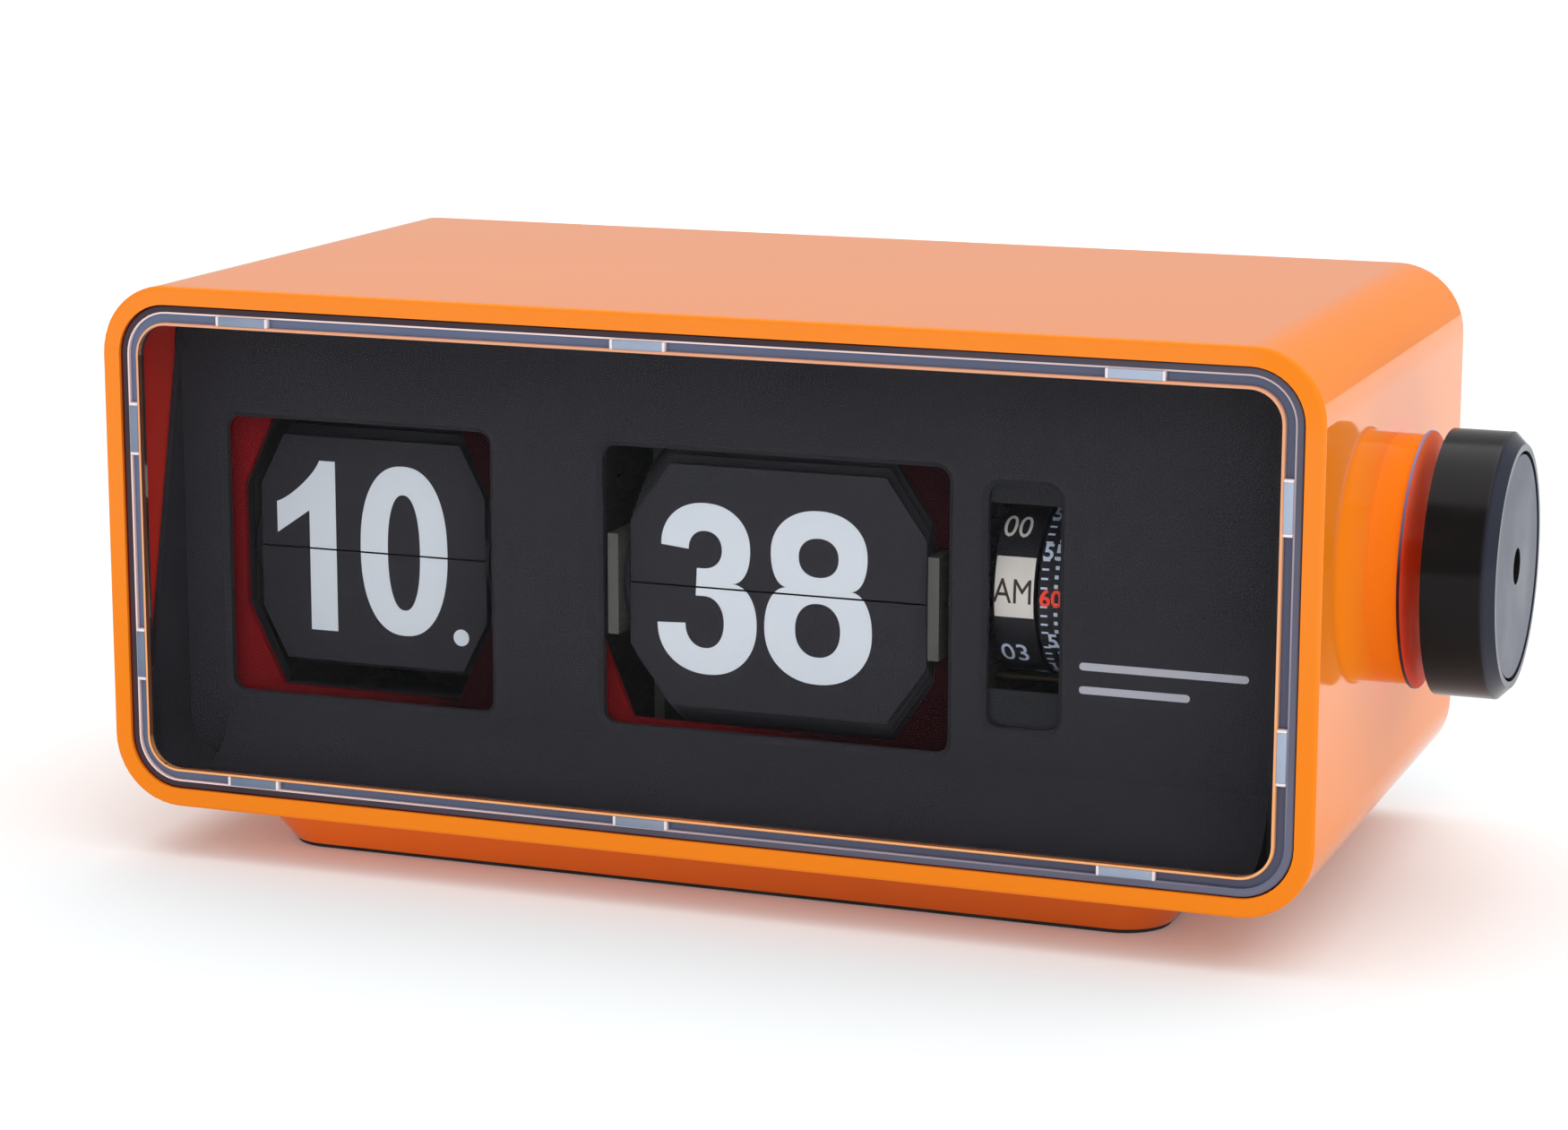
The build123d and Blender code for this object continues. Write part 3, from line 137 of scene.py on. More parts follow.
def fade_factor(tree, place, slow, fade):
    """Runs from 0 to 1 along a direction, with a little noise.

    fade is (direction, start, end); a fourth value repeats the run at that spacing.
    """
    direction, start, end = fade[:3]
    unit = tuple(Vector(direction).normalized())
    along = vector_maths(tree, "DOT_PRODUCT", place.outputs["Object"], unit)
    if len(fade) > 3:
        along = maths(tree, "WRAP", along, (start + fade[3]) * MM, start * MM)
    ramp = tree.nodes.new("ShaderNodeMapRange")
    ramp.inputs["From Min"].default_value = start * MM
    ramp.inputs["From Max"].default_value = end * MM
    tree.links.new(along, ramp.inputs["Value"])
    noise = maths(tree, "MULTIPLY_ADD", slow.outputs["Fac"], FADE_NOISE, -FADE_NOISE / 2)
    return maths(tree, "ADD", ramp.outputs["Result"], noise)


def plastic(name, colour, roughness, spread=0.08, patch=0.02, rough_spread=0.3, grain=0.0004,
            bump=0.02, metallic=0.0, coat=0.0, specular=0.5, second=None, fade=None):
    """Solid material whose colour, roughness and surface vary a little from place to place.

    patch and grain are the sizes of the slow and the fine variation, in metres.
    bump is the height of the grain in mm. With a fade the colour changes to the second one along it.
    """
    made = bpy.data.materials.new(name)
    made.use_nodes = True
    tree = made.node_tree
    shader = tree.nodes["Principled BSDF"]
    shader.inputs["Metallic"].default_value = metallic
    shader.inputs["Coat Weight"].default_value = coat
    shader.inputs["Coat Roughness"].default_value = COAT_ROUGHNESS
    shader.inputs["Specular IOR Level"].default_value = specular
    place = tree.nodes.new("ShaderNodeTexCoord")
    slow = tree.nodes.new("ShaderNodeTexNoise")
    slow.inputs["Scale"].default_value = 1.0 / patch
    slow.inputs["Detail"].default_value = SLOW_DETAIL
    fine = tree.nodes.new("ShaderNodeTexNoise")
    fine.inputs["Scale"].default_value = 1.0 / grain
    fine.inputs["Detail"].default_value = FINE_DETAIL
    tree.links.new(place.outputs["Object"], slow.inputs["Vector"])
    tree.links.new(place.outputs["Object"], fine.inputs["Vector"])
    tint = tree.nodes.new("ShaderNodeMix")
    tint.data_type = "RGBA"
    low = shade(colour, 1.0 - spread)
    high = second or shade(colour, 1.0 + spread)
    tint.inputs[MIX_LOW].default_value = (*low, 1.0)
    tint.inputs[MIX_HIGH].default_value = (*high, 1.0)
    factor = fade_factor(tree, place, slow, fade) if fade else slow.outputs["Fac"]
    tree.links.new(factor, tint.inputs[MIX_FACTOR])
    tree.links.new(tint.outputs[MIX_RESULT], shader.inputs["Base Color"])
    rough = tree.nodes.new("ShaderNodeMapRange")
    rough.inputs["From Min"].default_value = NOISE_LOW
    rough.inputs["From Max"].default_value = NOISE_HIGH
    rough.inputs["To Min"].default_value = roughness * (1.0 - rough_spread)
    rough.inputs["To Max"].default_value = roughness * (1.0 + rough_spread)
    tree.links.new(slow.outputs["Fac"], rough.inputs["Value"])
    tree.links.new(rough.outputs["Result"], shader.inputs["Roughness"])
    if bump:
        relief = tree.nodes.new("ShaderNodeBump")
        relief.inputs["Strength"].default_value = 1.0
        relief.inputs["Distance"].default_value = bump * MM
        tree.links.new(fine.outputs["Fac"], relief.inputs["Height"])
        tree.links.new(relief.outputs["Normal"], shader.inputs["Normal"])
    return made


def place_socket(material):
    """Socket that gives the place of a point in the object's own frame, in metres."""
    return next(n for n in material.node_tree.nodes if n.type == "TEX_COORD").outputs["Object"]


def brushed(name, colour, roughness, stretch, metallic=1.0, bump=0.004):
    """Material with fine lines; stretch is the noise scale along X, Y and Z, per metre."""
    made = plastic(name, colour, roughness, spread=0.12, metallic=metallic, bump=bump)
    tree = made.node_tree
    mapping = tree.nodes.new("ShaderNodeMapping")
    mapping.inputs["Scale"].default_value = stretch
    tree.links.new(place_socket(made), mapping.inputs["Vector"])
    for noise in [n for n in tree.nodes if n.type == "TEX_NOISE"]:
        noise.inputs["Scale"].default_value = 1.0
        tree.links.new(mapping.outputs["Vector"], noise.inputs["Vector"])
    return made


def clear(name, colour, roughness, ior):
    """Clear plastic that lets lamps light what is behind it."""
    made = bpy.data.materials.new(name)
    made.use_nodes = True
    tree = made.node_tree
    shader = tree.nodes["Principled BSDF"]
    shader.inputs["Base Color"].default_value = (*colour, 1.0)
    shader.inputs["Roughness"].default_value = roughness
    shader.inputs["IOR"].default_value = ior
    shader.inputs["Transmission Weight"].default_value = 1.0
    path = tree.nodes.new("ShaderNodeLightPath")
    through = tree.nodes.new("ShaderNodeBsdfTransparent")
    through.inputs["Color"].default_value = (*colour, 1.0)
    mix = tree.nodes.new("ShaderNodeMixShader")
    out = tree.nodes["Material Output"]
    tree.links.new(path.outputs["Is Shadow Ray"], mix.inputs[0])
    tree.links.new(shader.outputs[0], mix.inputs[1])
    tree.links.new(through.outputs[0], mix.inputs[2])
    tree.links.new(mix.outputs[0], out.inputs["Surface"])
    return made


ORANGE = (0.86, 0.222, 0.010)
# Painted light and shade inside the shell: dark red glow in front of the panel, near black shade behind
# it.
PAINTED_GLOW_RED = (0.60, 0.027, 0.016)
PAINTED_INSIDE_SHADE = (0.012, 0.004, 0.004)
# Painted glow on the dial disc.
DIAL_GLOW = (1.0, 0.055, 0.012)
DIAL_GLOW_STRENGTH = 0.17
# The lens pieces carry painted reflections that fade along BEAM, from their upper left to their lower
# right.
BEAM = (0.62, 0.0, -0.78)
ACROSS = (1, 0, 0)
UP = (0, 0, 1)
DOWN = (0, 0, -1)

orange = plastic("orange_shell", ORANGE, 0.055, spread=0.03, patch=0.06, grain=0.0035, bump=0.0006,
                 rough_spread=0.15, specular=0.25)
# The base's orange darkens towards the right: painted shade.
base_orange_shaded = plastic("orange_base_painted_shade", (0.96, 0.185, 0.014), 0.2, spread=0.04, patch=0.05, grain=0.001,
                      bump=0.002, specular=0.25, second=(0.70, 0.130, 0.012), fade=(ACROSS, -75.0, 30.0))
panel_black = plastic("panel_satin", (0.0265, 0.0255, 0.0305), 0.72, spread=0.06, patch=0.03,
                      grain=0.00035, bump=0.003, specular=0.08)
cover_black = plastic("cover_satin", (0.020, 0.019, 0.021), 0.5, spread=0.1, patch=0.03, grain=0.0007,
                      specular=0.35)
leaf_black = plastic("leaf_satin", (0.026, 0.0255, 0.031), 0.6, spread=0.12, patch=0.012, grain=0.0006,
                     bump=0.003, specular=0.1)
# The fanned leaf stacks get a darker copy of the leaf plastic: painted shade.
leaf_fan_shaded = plastic("leaf_fan_painted_shade", (0.012, 0.012, 0.015), 0.45, spread=0.2, patch=0.012,
                          grain=0.0006, bump=0.003, specular=0.15)
printed_white = plastic("printed_white", (0.66, 0.72, 0.775), 0.55, spread=0.04, patch=0.008,
                        grain=0.0005, bump=0.002, specular=0.2, second=(0.70, 0.74, 0.77))
printed_ivory = plastic("printed_ivory", (0.60, 0.57, 0.52), 0.55, patch=0.003, bump=0.002, specular=0.2)
printed_blue_white = plastic("printed_blue_white", (0.52, 0.58, 0.72), 0.5, spread=0.2, patch=0.002,
                             bump=0.002, specular=0.2)
printed_red = plastic("printed_red", (0.85, 0.06, 0.03), 0.5, patch=0.002, specular=0.2)
printed_dark = plastic("printed_dark", (0.035, 0.022, 0.020), 0.5, patch=0.002, specular=0.2)
silver_print = plastic("silver_print", (0.38, 0.38, 0.42), 0.4, spread=0.1, patch=0.004, bump=0.002,
                       metallic=0.35)
# Red at the left of each window fading to near black at the right, repeated every 64 mm: painted glow and
# painted shade.
surround_red = plastic("surround_red", (0.21, 0.006, 0.009), 0.6, spread=0.1, patch=0.03, grain=0.001,
                       bump=0.002, specular=0.03, second=(0.012, 0.001, 0.002),
                       fade=(ACROSS, -92.0, -50.0, 64.0))
inner_black = plastic("inner_black", (0.011, 0.011, 0.014), 0.4, patch=0.01, grain=0.0008, bump=0.002,
                      specular=0.16)
# Bluish tint over the knob's front edge: painted reflection.
knob_black_sheen = plastic("knob_gloss_painted_sheen", (0.0030, 0.0012, 0.0014), 0.18, spread=0.2, patch=0.01, grain=0.0006,
                     bump=0.0010, specular=0.17, second=(0.020, 0.022, 0.036),
                     fade=(ACROSS, 117.2, 118.2))
face_grey = plastic("face_grey", (0.150, 0.156, 0.190), 0.5, spread=0.03, grain=0.0006, bump=0.001,
                    specular=0.2)
rubber_black = plastic("rubber", (0.010, 0.010, 0.011), 0.75, patch=0.006)
# Zinc darkened to near black for plates deep in the case: painted shade.
shaded_zinc = brushed("zinc_plate_painted_shade", (0.072, 0.073, 0.062), 0.5, (120.0, 300.0, 2600.0), metallic=0.35)
# Shaft steel made near black with no reflection so the hole in the knob reads dark: painted shade.
steel_painted_shade = plastic("steel_painted_shade", (0.004, 0.004, 0.005), 0.9, patch=0.003, bump=0.004, specular=0.0)
# Brass darkened to near black so the wheels read dark deep in the case: painted shade.
brass_shaded = brushed("brass_wheel_painted_shade", (0.085, 0.065, 0.045), 0.42, (900.0, 900.0, 900.0))
acetal = plastic("acetal", (0.70, 0.69, 0.64), 0.45, patch=0.008, grain=0.0006, bump=0.004)
acetal_black = plastic("acetal_black", (0.009, 0.009, 0.011), 0.5, patch=0.008, grain=0.0006,
                       bump=0.004, specular=0.2)
aluminium = brushed("can_metal", (0.62, 0.62, 0.62), 0.33, (2200.0, 160.0, 160.0))
board_green = plastic("board_green", (0.02, 0.16, 0.07), 0.3, patch=0.004, grain=0.0012, coat=0.3,
                      second=(0.05, 0.26, 0.12))
ferrite = plastic("ferrite", (0.04, 0.04, 0.045), 0.5, patch=0.004, grain=0.0006)
laminations = brushed("laminations", (0.16, 0.16, 0.17), 0.5, (80.0, 2600.0, 80.0), metallic=0.6,
                      bump=0.02)
winding = brushed("winding", (0.52, 0.20, 0.07), 0.32, (120.0, 120.0, 3200.0), metallic=0.7, bump=0.06)
paper_black = plastic("cone_paper", (0.022, 0.021, 0.020), 0.85, patch=0.004, grain=0.0007, bump=0.04)
screw_steel = brushed("screw_steel", (0.42, 0.42, 0.43), 0.32, (900.0, 900.0, 900.0))
# The dial's deep red is painted shade under the knob; its glow and its lighter top are painted light.
dial_red_painted_glow = plastic("dial_red_painted_glow", (0.90, 0.050, 0.014), 0.5, spread=0.06, patch=0.01, grain=0.002,
                   bump=0.0006, specular=0.04, second=(1.0, 0.22, 0.07), fade=(UP, 58.0, 76.0))
dial_shader = dial_red_painted_glow.node_tree.nodes["Principled BSDF"]
dial_shader.inputs["Emission Color"].default_value = (*DIAL_GLOW, 1.0)
dial_shader.inputs["Emission Strength"].default_value = DIAL_GLOW_STRENGTH
# Purple edge of the clear disc, lighter towards the top: painted reflection and painted highlight.
dial_edge = plastic("dial_edge", (0.050, 0.010, 0.018), 0.3, spread=0.5, patch=0.006, bump=0.0005,
                    specular=0.15, second=(0.40, 0.32, 0.56), fade=((0.0, -0.3, 1.0), 60.0, 82.0))
pane_clear = clear("pane_clear", (0.97, 0.97, 0.985), 0.0, 1.10)
# Colours of the lens's edge pieces are painted reflections and refractions of the clear lens: painted
# shade on the skirt, painted highlights on the lines and tab ends.
ledge_painted_reflection = plastic("lens_ledge", (0.13, 0.175, 0.31), 0.16, spread=0.15, patch=0.03, grain=0.002,
                     bump=0.001, specular=0.4, second=(0.060, 0.064, 0.115), fade=(BEAM, -110.0, 30.0))
skirt_painted_shade = plastic("lens_skirt", (0.045, 0.020, 0.030), 0.2, spread=0.3, grain=0.002, bump=0.001,
                     specular=0.3, second=(0.14, 0.15, 0.22), fade=(BEAM, -60.0, 60.0))
edge_line = plastic("lens_edge_line", (0.86, 0.40, 0.23), 0.2, spread=0.12, grain=0.002, bump=0.001,
                    specular=0.3, second=(0.90, 0.42, 0.16), fade=(DOWN, -90.0, -10.0))
pale_line = plastic("lens_pale_line", (0.92, 0.70, 0.68), 0.2, spread=0.06, grain=0.002, bump=0.001,
                    specular=0.4, second=(0.115, 0.125, 0.20), fade=(BEAM, -68.0, 45.0))
tab_painted_reflection = plastic("lens_tab", (0.13, 0.17, 0.25), 0.16, spread=0.1, patch=0.004, grain=0.002,
                   bump=0.001, specular=0.3, second=(0.38, 0.44, 0.56), fade=((1, 0, 1), -60.0, 110.0))
tab_end = plastic("lens_tab_end", (0.80, 0.72, 0.74), 0.25, spread=0.1, patch=0.004, grain=0.002,
                  bump=0.001)

LOOKS = {
    orange: ["case_sleeve"],
    base_orange_shaded: ["pedestal_base"],
    rubber_black: ["base_pad", "cord_gland"],
    screw_steel: ["base_screws", "rear_screws", "gear_studs"],
    steel_painted_shade: ["tuning_shaft"],
    panel_black: ["front_panel"],
    cover_black: ["rear_cover", "movement_tray"],
    inner_black: ["alarm_window_mask", "hour_light_baffle", "minute_drum", "alarm_drum",
                  "seconds_wheel", "alarm_switch", "board_capacitors", "function_switch",
                  "time_set_wheel", "alarm_set_wheel", "volume_wheel"],
    surround_red: ["display_surround"],
    shaded_zinc: ["hour_end_plate", "centre_plate", "minute_plates", "alarm_bridge_plate", "motor_plate",
           "frame_posts", "minute_arbor", "alarm_lever", "lever_bracket", "speaker_basket"],
    brass_shaded: ["minute_wheel", "reduction_wheel"],
    acetal: ["time_set_gear", "motion_idler", "time_set_idler", "alarm_idler", "function_slider"],
    acetal_black: ["hour_drum"],
    leaf_black: ["minute_top_leaf", "minute_lower_leaf", "hour_top_leaf", "hour_lower_leaf"],
    leaf_fan_shaded: ["minute_leaves", "hour_leaves"],
    aluminium: ["synchronous_motor", "tuning_capacitor", "volume_control"],
    board_green: ["circuit_board"],
    ferrite: ["aerial_rod"],
    laminations: ["transformer_core"],
    winding: ["transformer_coil"],
    paper_black: ["speaker_cone"],
    dial_red_painted_glow: ["dial_disc"],
    knob_black_sheen: ["knob_ring"],
    face_grey: ["knob_face_disc"],
    pane_clear: ["front_lens"],
}
for look, names in LOOKS.items():
    for name in names:
        nodes[name].data.materials.clear()
        nodes[name].data.materials.append(look)

# ---------------------------------------------------------------- shell
sleeve_low, sleeve_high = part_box("case_sleeve")
CASE_RADIUS = 11.4
CASE_WALL = 3.0
RIM_DEPTH = 0.6
PANEL_DEPTH = 18.4
COVER_DEPTH = 96.0
# Painted shade in the shell's reflections: weaker low down and along the upper right edge.
REFLECTION_SHADE_HEIGHTS = (26.0, 64.0)
REFLECTION_LEVELS = (0.07, 0.23)
REFLECTION_SHADE_X = (87.0, 92.0)
REFLECTION_SHADE_Z = (80.0, 87.0)
REFLECTION_SHADE_LOSS = 0.15


def tint_where(material, mask, colour):
    """Swaps the material's colour for another one where the mask is 1."""
    tree = material.node_tree
    mix = tree.nodes.new("ShaderNodeMix")
    mix.data_type = "RGBA"
    mix.inputs[MIX_HIGH].default_value = (*colour, 1.0)
    shader = tree.nodes["Principled BSDF"]
    tree.links.new(shader.inputs["Base Color"].links[0].from_socket, mix.inputs[MIX_LOW])
    tree.links.new(mask, mix.inputs[MIX_FACTOR])
    tree.links.new(mix.outputs[MIX_RESULT], shader.inputs["Base Color"])


def tint_inner_faces(material):
    """Paints light and shade on the shell's inner faces: in front of the panel a red glow, standing for
    light through the shell's wall, over painted shade; behind it near black painted shade.
    """
    tree = material.node_tree
    place = place_socket(material)
    middle = (sleeve_low + sleeve_high) / 2
    half = (sleeve_high - sleeve_low) / 2
    flat = vector_maths(tree, "SUBTRACT", place, tuple(middle))
    flat = vector_maths(tree, "MULTIPLY", flat, (1.0, 0.0, 1.0))
    flat = vector_maths(tree, "ABSOLUTE", flat)
    arc_centre = (half.x - CASE_RADIUS * MM, 0.0, half.z - CASE_RADIUS * MM)
    corner = vector_maths(tree, "SUBTRACT", flat, arc_centre)
    corner = vector_maths(tree, "MAXIMUM", corner)
    from_corner = vector_maths(tree, "LENGTH", corner)
    inner = maths(tree, "LESS_THAN", from_corner, (CASE_RADIUS - CASE_WALL / 2) * MM)
    depth = vector_maths(tree, "DOT_PRODUCT", place, (0.0, 1.0, 0.0))
    for start, end, colour in (
        (RIM_DEPTH, PANEL_DEPTH, PAINTED_GLOW_RED),
        (PANEL_DEPTH, COVER_DEPTH, PAINTED_INSIDE_SHADE),
    ):
        behind = maths(tree, "GREATER_THAN", depth, sleeve_low.y + start * MM)
        ahead = maths(tree, "LESS_THAN", depth, sleeve_low.y + end * MM)
        between = maths(tree, "MULTIPLY", behind, ahead)
        tint_where(material, maths(tree, "MULTIPLY", inner, between), colour)


def ramp_along(tree, place, direction, reach, levels=(0.0, 1.0)):
    """Value that goes smoothly from one level to the other over a reach (start, end) along a direction."""
    ramp = tree.nodes.new("ShaderNodeMapRange")
    ramp.interpolation_type = "SMOOTHSTEP"
    ramp.inputs["From Min"].default_value = reach[0] * MM
    ramp.inputs["From Max"].default_value = reach[1] * MM
    ramp.inputs["To Min"].default_value = levels[0]
    ramp.inputs["To Max"].default_value = levels[1]
    tree.links.new(vector_maths(tree, "DOT_PRODUCT", place, direction), ramp.inputs["Value"])
    return ramp.outputs["Result"]


def vary_gloss(material):
    """The shell's reflections are weaker low down and along its upper right edge: painted shade in the
    reflections.
    """
    tree = material.node_tree
    place = place_socket(material)
    reflection_level = ramp_along(tree, place, UP, REFLECTION_SHADE_HEIGHTS, REFLECTION_LEVELS)
    right_side = ramp_along(tree, place, ACROSS, REFLECTION_SHADE_X)
    upper_edge = ramp_along(tree, place, UP, REFLECTION_SHADE_Z)
    reflection_shaded = maths(tree, "MULTIPLY", right_side, upper_edge)
    reflection_level = maths(tree, "SUBTRACT", reflection_level, maths(tree, "MULTIPLY", reflection_shaded, REFLECTION_SHADE_LOSS))
    tree.links.new(reflection_level, tree.nodes["Principled BSDF"].inputs["Specular IOR Level"])


tint_inner_faces(orange)
vary_gloss(orange)


# ---------------------------------------------------------------- hole through the knob's face
HOLE_RADIUS = 2.9
HOLE_PAINTED_SHADE = (0.003, 0.003, 0.004)
face_low, face_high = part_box("knob_face_disc")


def darken_hole(material):
    """Paints shade on the face inside the hole's radius."""
    tree = material.node_tree
    middle = (face_low + face_high) / 2
    flat = vector_maths(tree, "SUBTRACT", place_socket(material), tuple(middle))
    flat = vector_maths(tree, "MULTIPLY", flat, (0.0, 1.0, 1.0))
    inside = maths(tree, "LESS_THAN", vector_maths(tree, "LENGTH", flat), HOLE_RADIUS * MM)
    tint_where(material, inside, HOLE_PAINTED_SHADE)


darken_hole(face_grey)


# ---------------------------------------------------------------- mesh helpers
def add_piece(name, mesh, look, body):
    """Puts a mesh in the scene as a piece that rides on a body."""
    piece = bpy.data.objects.new(name, mesh)
    scene.collection.objects.link(piece)
    mesh.materials.clear()
    mesh.materials.append(look)
    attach(piece, body)
    return piece


CORNER_STEPS = 10
SMALLEST_RADIUS = 0.05
SMOOTH_DEGREES = 35.0


def rounded_loop(half_x, half_z, radius, centre_z):
    """Points of a rounded rectangle, seen from the front, in mm."""
    loop = []
    for corner, (sx, sz) in enumerate(((1, 1), (-1, 1), (-1, -1), (1, -1))):
        for step in range(CORNER_STEPS + 1):
            angle = math.radians(90.0 * (corner + step / CORNER_STEPS))
            loop.append((
                sx * (half_x - radius) + radius * math.cos(angle),
                centre_z + sz * (half_z - radius) + radius * math.sin(angle),
            ))
    return loop


def ring_mesh(name, half_x, half_z, radius, centre_z, profile):
    """Closed ring whose profile points are (distance out from the rounded rectangle, y), in mm."""
    loops = []
    for out, y in profile:
        loop = rounded_loop(half_x + out, half_z + out, max(radius + out, SMALLEST_RADIUS), centre_z)
        loops.append([(x * MM, y * MM, z * MM) for x, z in loop])
    count = len(loops[0])
    vertices = [point for loop in loops for point in loop]
    faces = []
    for a in range(len(loops)):
        b = (a + 1) % len(loops)
        for i in range(count):
            j = (i + 1) % count
            faces.append((a * count + i, a * count + j, b * count + j, b * count + i))
    mesh = bpy.data.meshes.new(name)
    mesh.from_pydata(vertices, [], faces)
    fix_normals(mesh)
    return mesh


def slab_mesh(name, half_x, half_z, radius, centre_z, profile):
    """Closed slab from a list of (distance out, y) that runs from its back face to its front face."""
    vertices = []
    for out, y in profile:
        loop = rounded_loop(half_x + out, half_z + out, radius + out, centre_z)
        vertices += [(x * MM, y * MM, z * MM) for x, z in loop]
    count = len(vertices) // len(profile)
    faces = [tuple(range(count))[::-1], tuple(range(len(vertices) - count, len(vertices)))]
    for a in range(len(profile) - 1):
        for i in range(count):
            j = (i + 1) % count
            faces.append((a * count + i, a * count + j, (a + 1) * count + j, (a + 1) * count + i))
    mesh = bpy.data.meshes.new(name)
    mesh.from_pydata(vertices, [], faces)
    fix_normals(mesh)
    return mesh


def fix_normals(mesh):
    """Turns faces outwards, and smooths them apart from sharp and open edges."""
    work = bmesh.new()
    work.from_mesh(mesh)
    bmesh.ops.recalc_face_normals(work, faces=work.faces)
    for face in work.faces:
        face.smooth = True
    for edge in work.edges:
        shallow = edge.calc_face_angle(0.0) < math.radians(SMOOTH_DEGREES)
        edge.smooth = len(edge.link_faces) == 2 and shallow
    work.to_mesh(mesh)
    work.free()


# ---------------------------------------------------------------- lens
lens_low, lens_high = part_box("front_lens")
lens_front = lens_low.y / MM
mid_z = (lens_low.z + lens_high.z) / 2 / MM
LENS_HALF_X = 94.0
LENS_HALF_Z = 36.9
LENS_RADIUS = 5.5
LEDGE_BACK = 1.1
LENS_BACK = 2.2
SKIRT_BACK = 5.2
LEDGE_OUT = 1.45
OUTER_OUT = 2.75
LIP_BACK = 0.5
EDGE_WIDTH = 0.42
EDGE_DEPTH = 1.3
PANE_BACK = 0.02
EDGE_INNER_EASE = 0.1
EDGE_OUTER_EASE = 0.12
EDGE_EASE_BACK = 0.14
LINE_FRONT = LIP_BACK - 0.03
LINE_OUT = LEDGE_OUT + 0.26
SKIRT_EASE = 0.15

pane_mesh = slab_mesh("lens_pane", LENS_HALF_X, LENS_HALF_Z, LENS_RADIUS, mid_z, [
    (-EDGE_WIDTH, lens_front + LENS_BACK), (-EDGE_WIDTH, lens_front + PANE_BACK),
])
lens_parts = [add_piece("lens_pane", pane_mesh, pane_clear, "case")]
# Ring pieces round the pane carry the painted reflections, refractions and highlights of the lens's edge.
for name, look, profile in (
    ("lens_plateau_edge", edge_line, [
        (-EDGE_WIDTH, PANE_BACK), (-EDGE_WIDTH + EDGE_INNER_EASE, 0.0), (-EDGE_OUTER_EASE, 0.0),
        (0.0, EDGE_EASE_BACK), (0.0, EDGE_DEPTH), (-EDGE_WIDTH, EDGE_DEPTH),
    ]),
    ("lens_ledge", ledge_painted_reflection, [
        (0.0, LEDGE_BACK), (LEDGE_OUT, LEDGE_BACK), (LEDGE_OUT, LENS_BACK), (0.0, LENS_BACK),
    ]),
    ("lens_ledge_line", pale_line, [
        (LEDGE_OUT, LINE_FRONT), (LINE_OUT, LINE_FRONT), (LINE_OUT, LENS_BACK), (LEDGE_OUT, LENS_BACK),
    ]),
    ("lens_skirt", skirt_painted_shade, [
        (LINE_OUT, LIP_BACK), (OUTER_OUT - SKIRT_EASE, LIP_BACK), (OUTER_OUT, LIP_BACK + SKIRT_EASE),
        (OUTER_OUT, SKIRT_BACK), (LINE_OUT, SKIRT_BACK),
    ]),
):
    placed = [(out, lens_front + y) for out, y in profile]
    ring = ring_mesh(name, LENS_HALF_X, LENS_HALF_Z, LENS_RADIUS, mid_z, placed)
    lens_parts.append(add_piece(name, ring, look, "case"))


def bevelled_block(work, low, high, bevel):
    """Adds a box with eased edges to a bmesh; corners in mm."""
    size = [(high[k] - low[k]) * MM for k in range(3)]
    middle = [(high[k] + low[k]) / 2 * MM for k in range(3)]
    made = bmesh.ops.create_cube(work, size=1.0)
    bmesh.ops.scale(work, vec=size, verts=made["verts"])
    bmesh.ops.translate(work, vec=middle, verts=made["verts"])
    edges = list({edge for vertex in made["verts"] for edge in vertex.link_edges})
    bmesh.ops.bevel(work, geom=edges, offset=bevel * MM, segments=2, affect="EDGES", profile=0.5)


def blocks_mesh(name, boxes, bevel):
    """One mesh of boxes with eased edges, each given by its low and high corner in mm."""
    work = bmesh.new()
    for low, high in boxes:
        bevelled_block(work, low, high, bevel)
    mesh = bpy.data.meshes.new(name)
    work.to_mesh(mesh)
    work.free()
    fix_normals(mesh)
    return mesh


TAB_X = (-74.8, -7.0, 71.5)
TAB_Z = (19.4, -17.8)
TAB_HALF = 4.1
SIDE_TAB_HALF = 3.8
TAB_END = 0.45
TAB_BEVEL = 0.12
TAB_END_BEVEL = 0.08
tab_back = lens_front + LEDGE_BACK
tab_boxes = []
end_boxes = []
for side in (-1, 1):
    low_z, high_z = sorted((mid_z + side * LENS_HALF_Z, mid_z + side * (LENS_HALF_Z + LEDGE_OUT)))
    for x in TAB_X:
        tab_boxes.append(((x - TAB_HALF, lens_front, low_z), (x + TAB_HALF, tab_back, high_z)))
        for end in (-1, 1):
            a, b = sorted((x + end * TAB_HALF, x + end * (TAB_HALF + TAB_END)))
            end_boxes.append(((a, lens_front, low_z), (b, tab_back, high_z)))
    low_x, high_x = sorted((side * LENS_HALF_X, side * (LENS_HALF_X + LEDGE_OUT)))
    for z in TAB_Z:
        z = mid_z + z
        tab_boxes.append(((low_x, lens_front, z - SIDE_TAB_HALF), (high_x, tab_back, z + SIDE_TAB_HALF)))
        for end in (-1, 1):
            a, b = sorted((z + end * SIDE_TAB_HALF, z + end * (SIDE_TAB_HALF + TAB_END)))
            end_boxes.append(((low_x, lens_front, a), (high_x, tab_back, b)))
# Tabs carry painted reflections, and their ends painted highlights.
for name, boxes, bevel, look in (
    ("lens_tabs", tab_boxes, TAB_BEVEL, tab_painted_reflection),
    ("lens_tab_ends", end_boxes, TAB_END_BEVEL, tab_end),
):
    lens_parts.append(add_piece(name, blocks_mesh(name, boxes, bevel), look, "case"))
for part in lens_parts:
    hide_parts("front_lens")


# ---------------------------------------------------------------- numerals
# A power of 2 gives plain ellipses; more than that makes the curves squarer.
CURVE_POWER = 2.15
FLAG_POWER = 1.27
OVAL_POWER = 2.3
COUNTER_POWER = 2.2
ROUND_POWER = 2.0
QUARTER_STEPS = 14
SAME_POINT = 1e-6


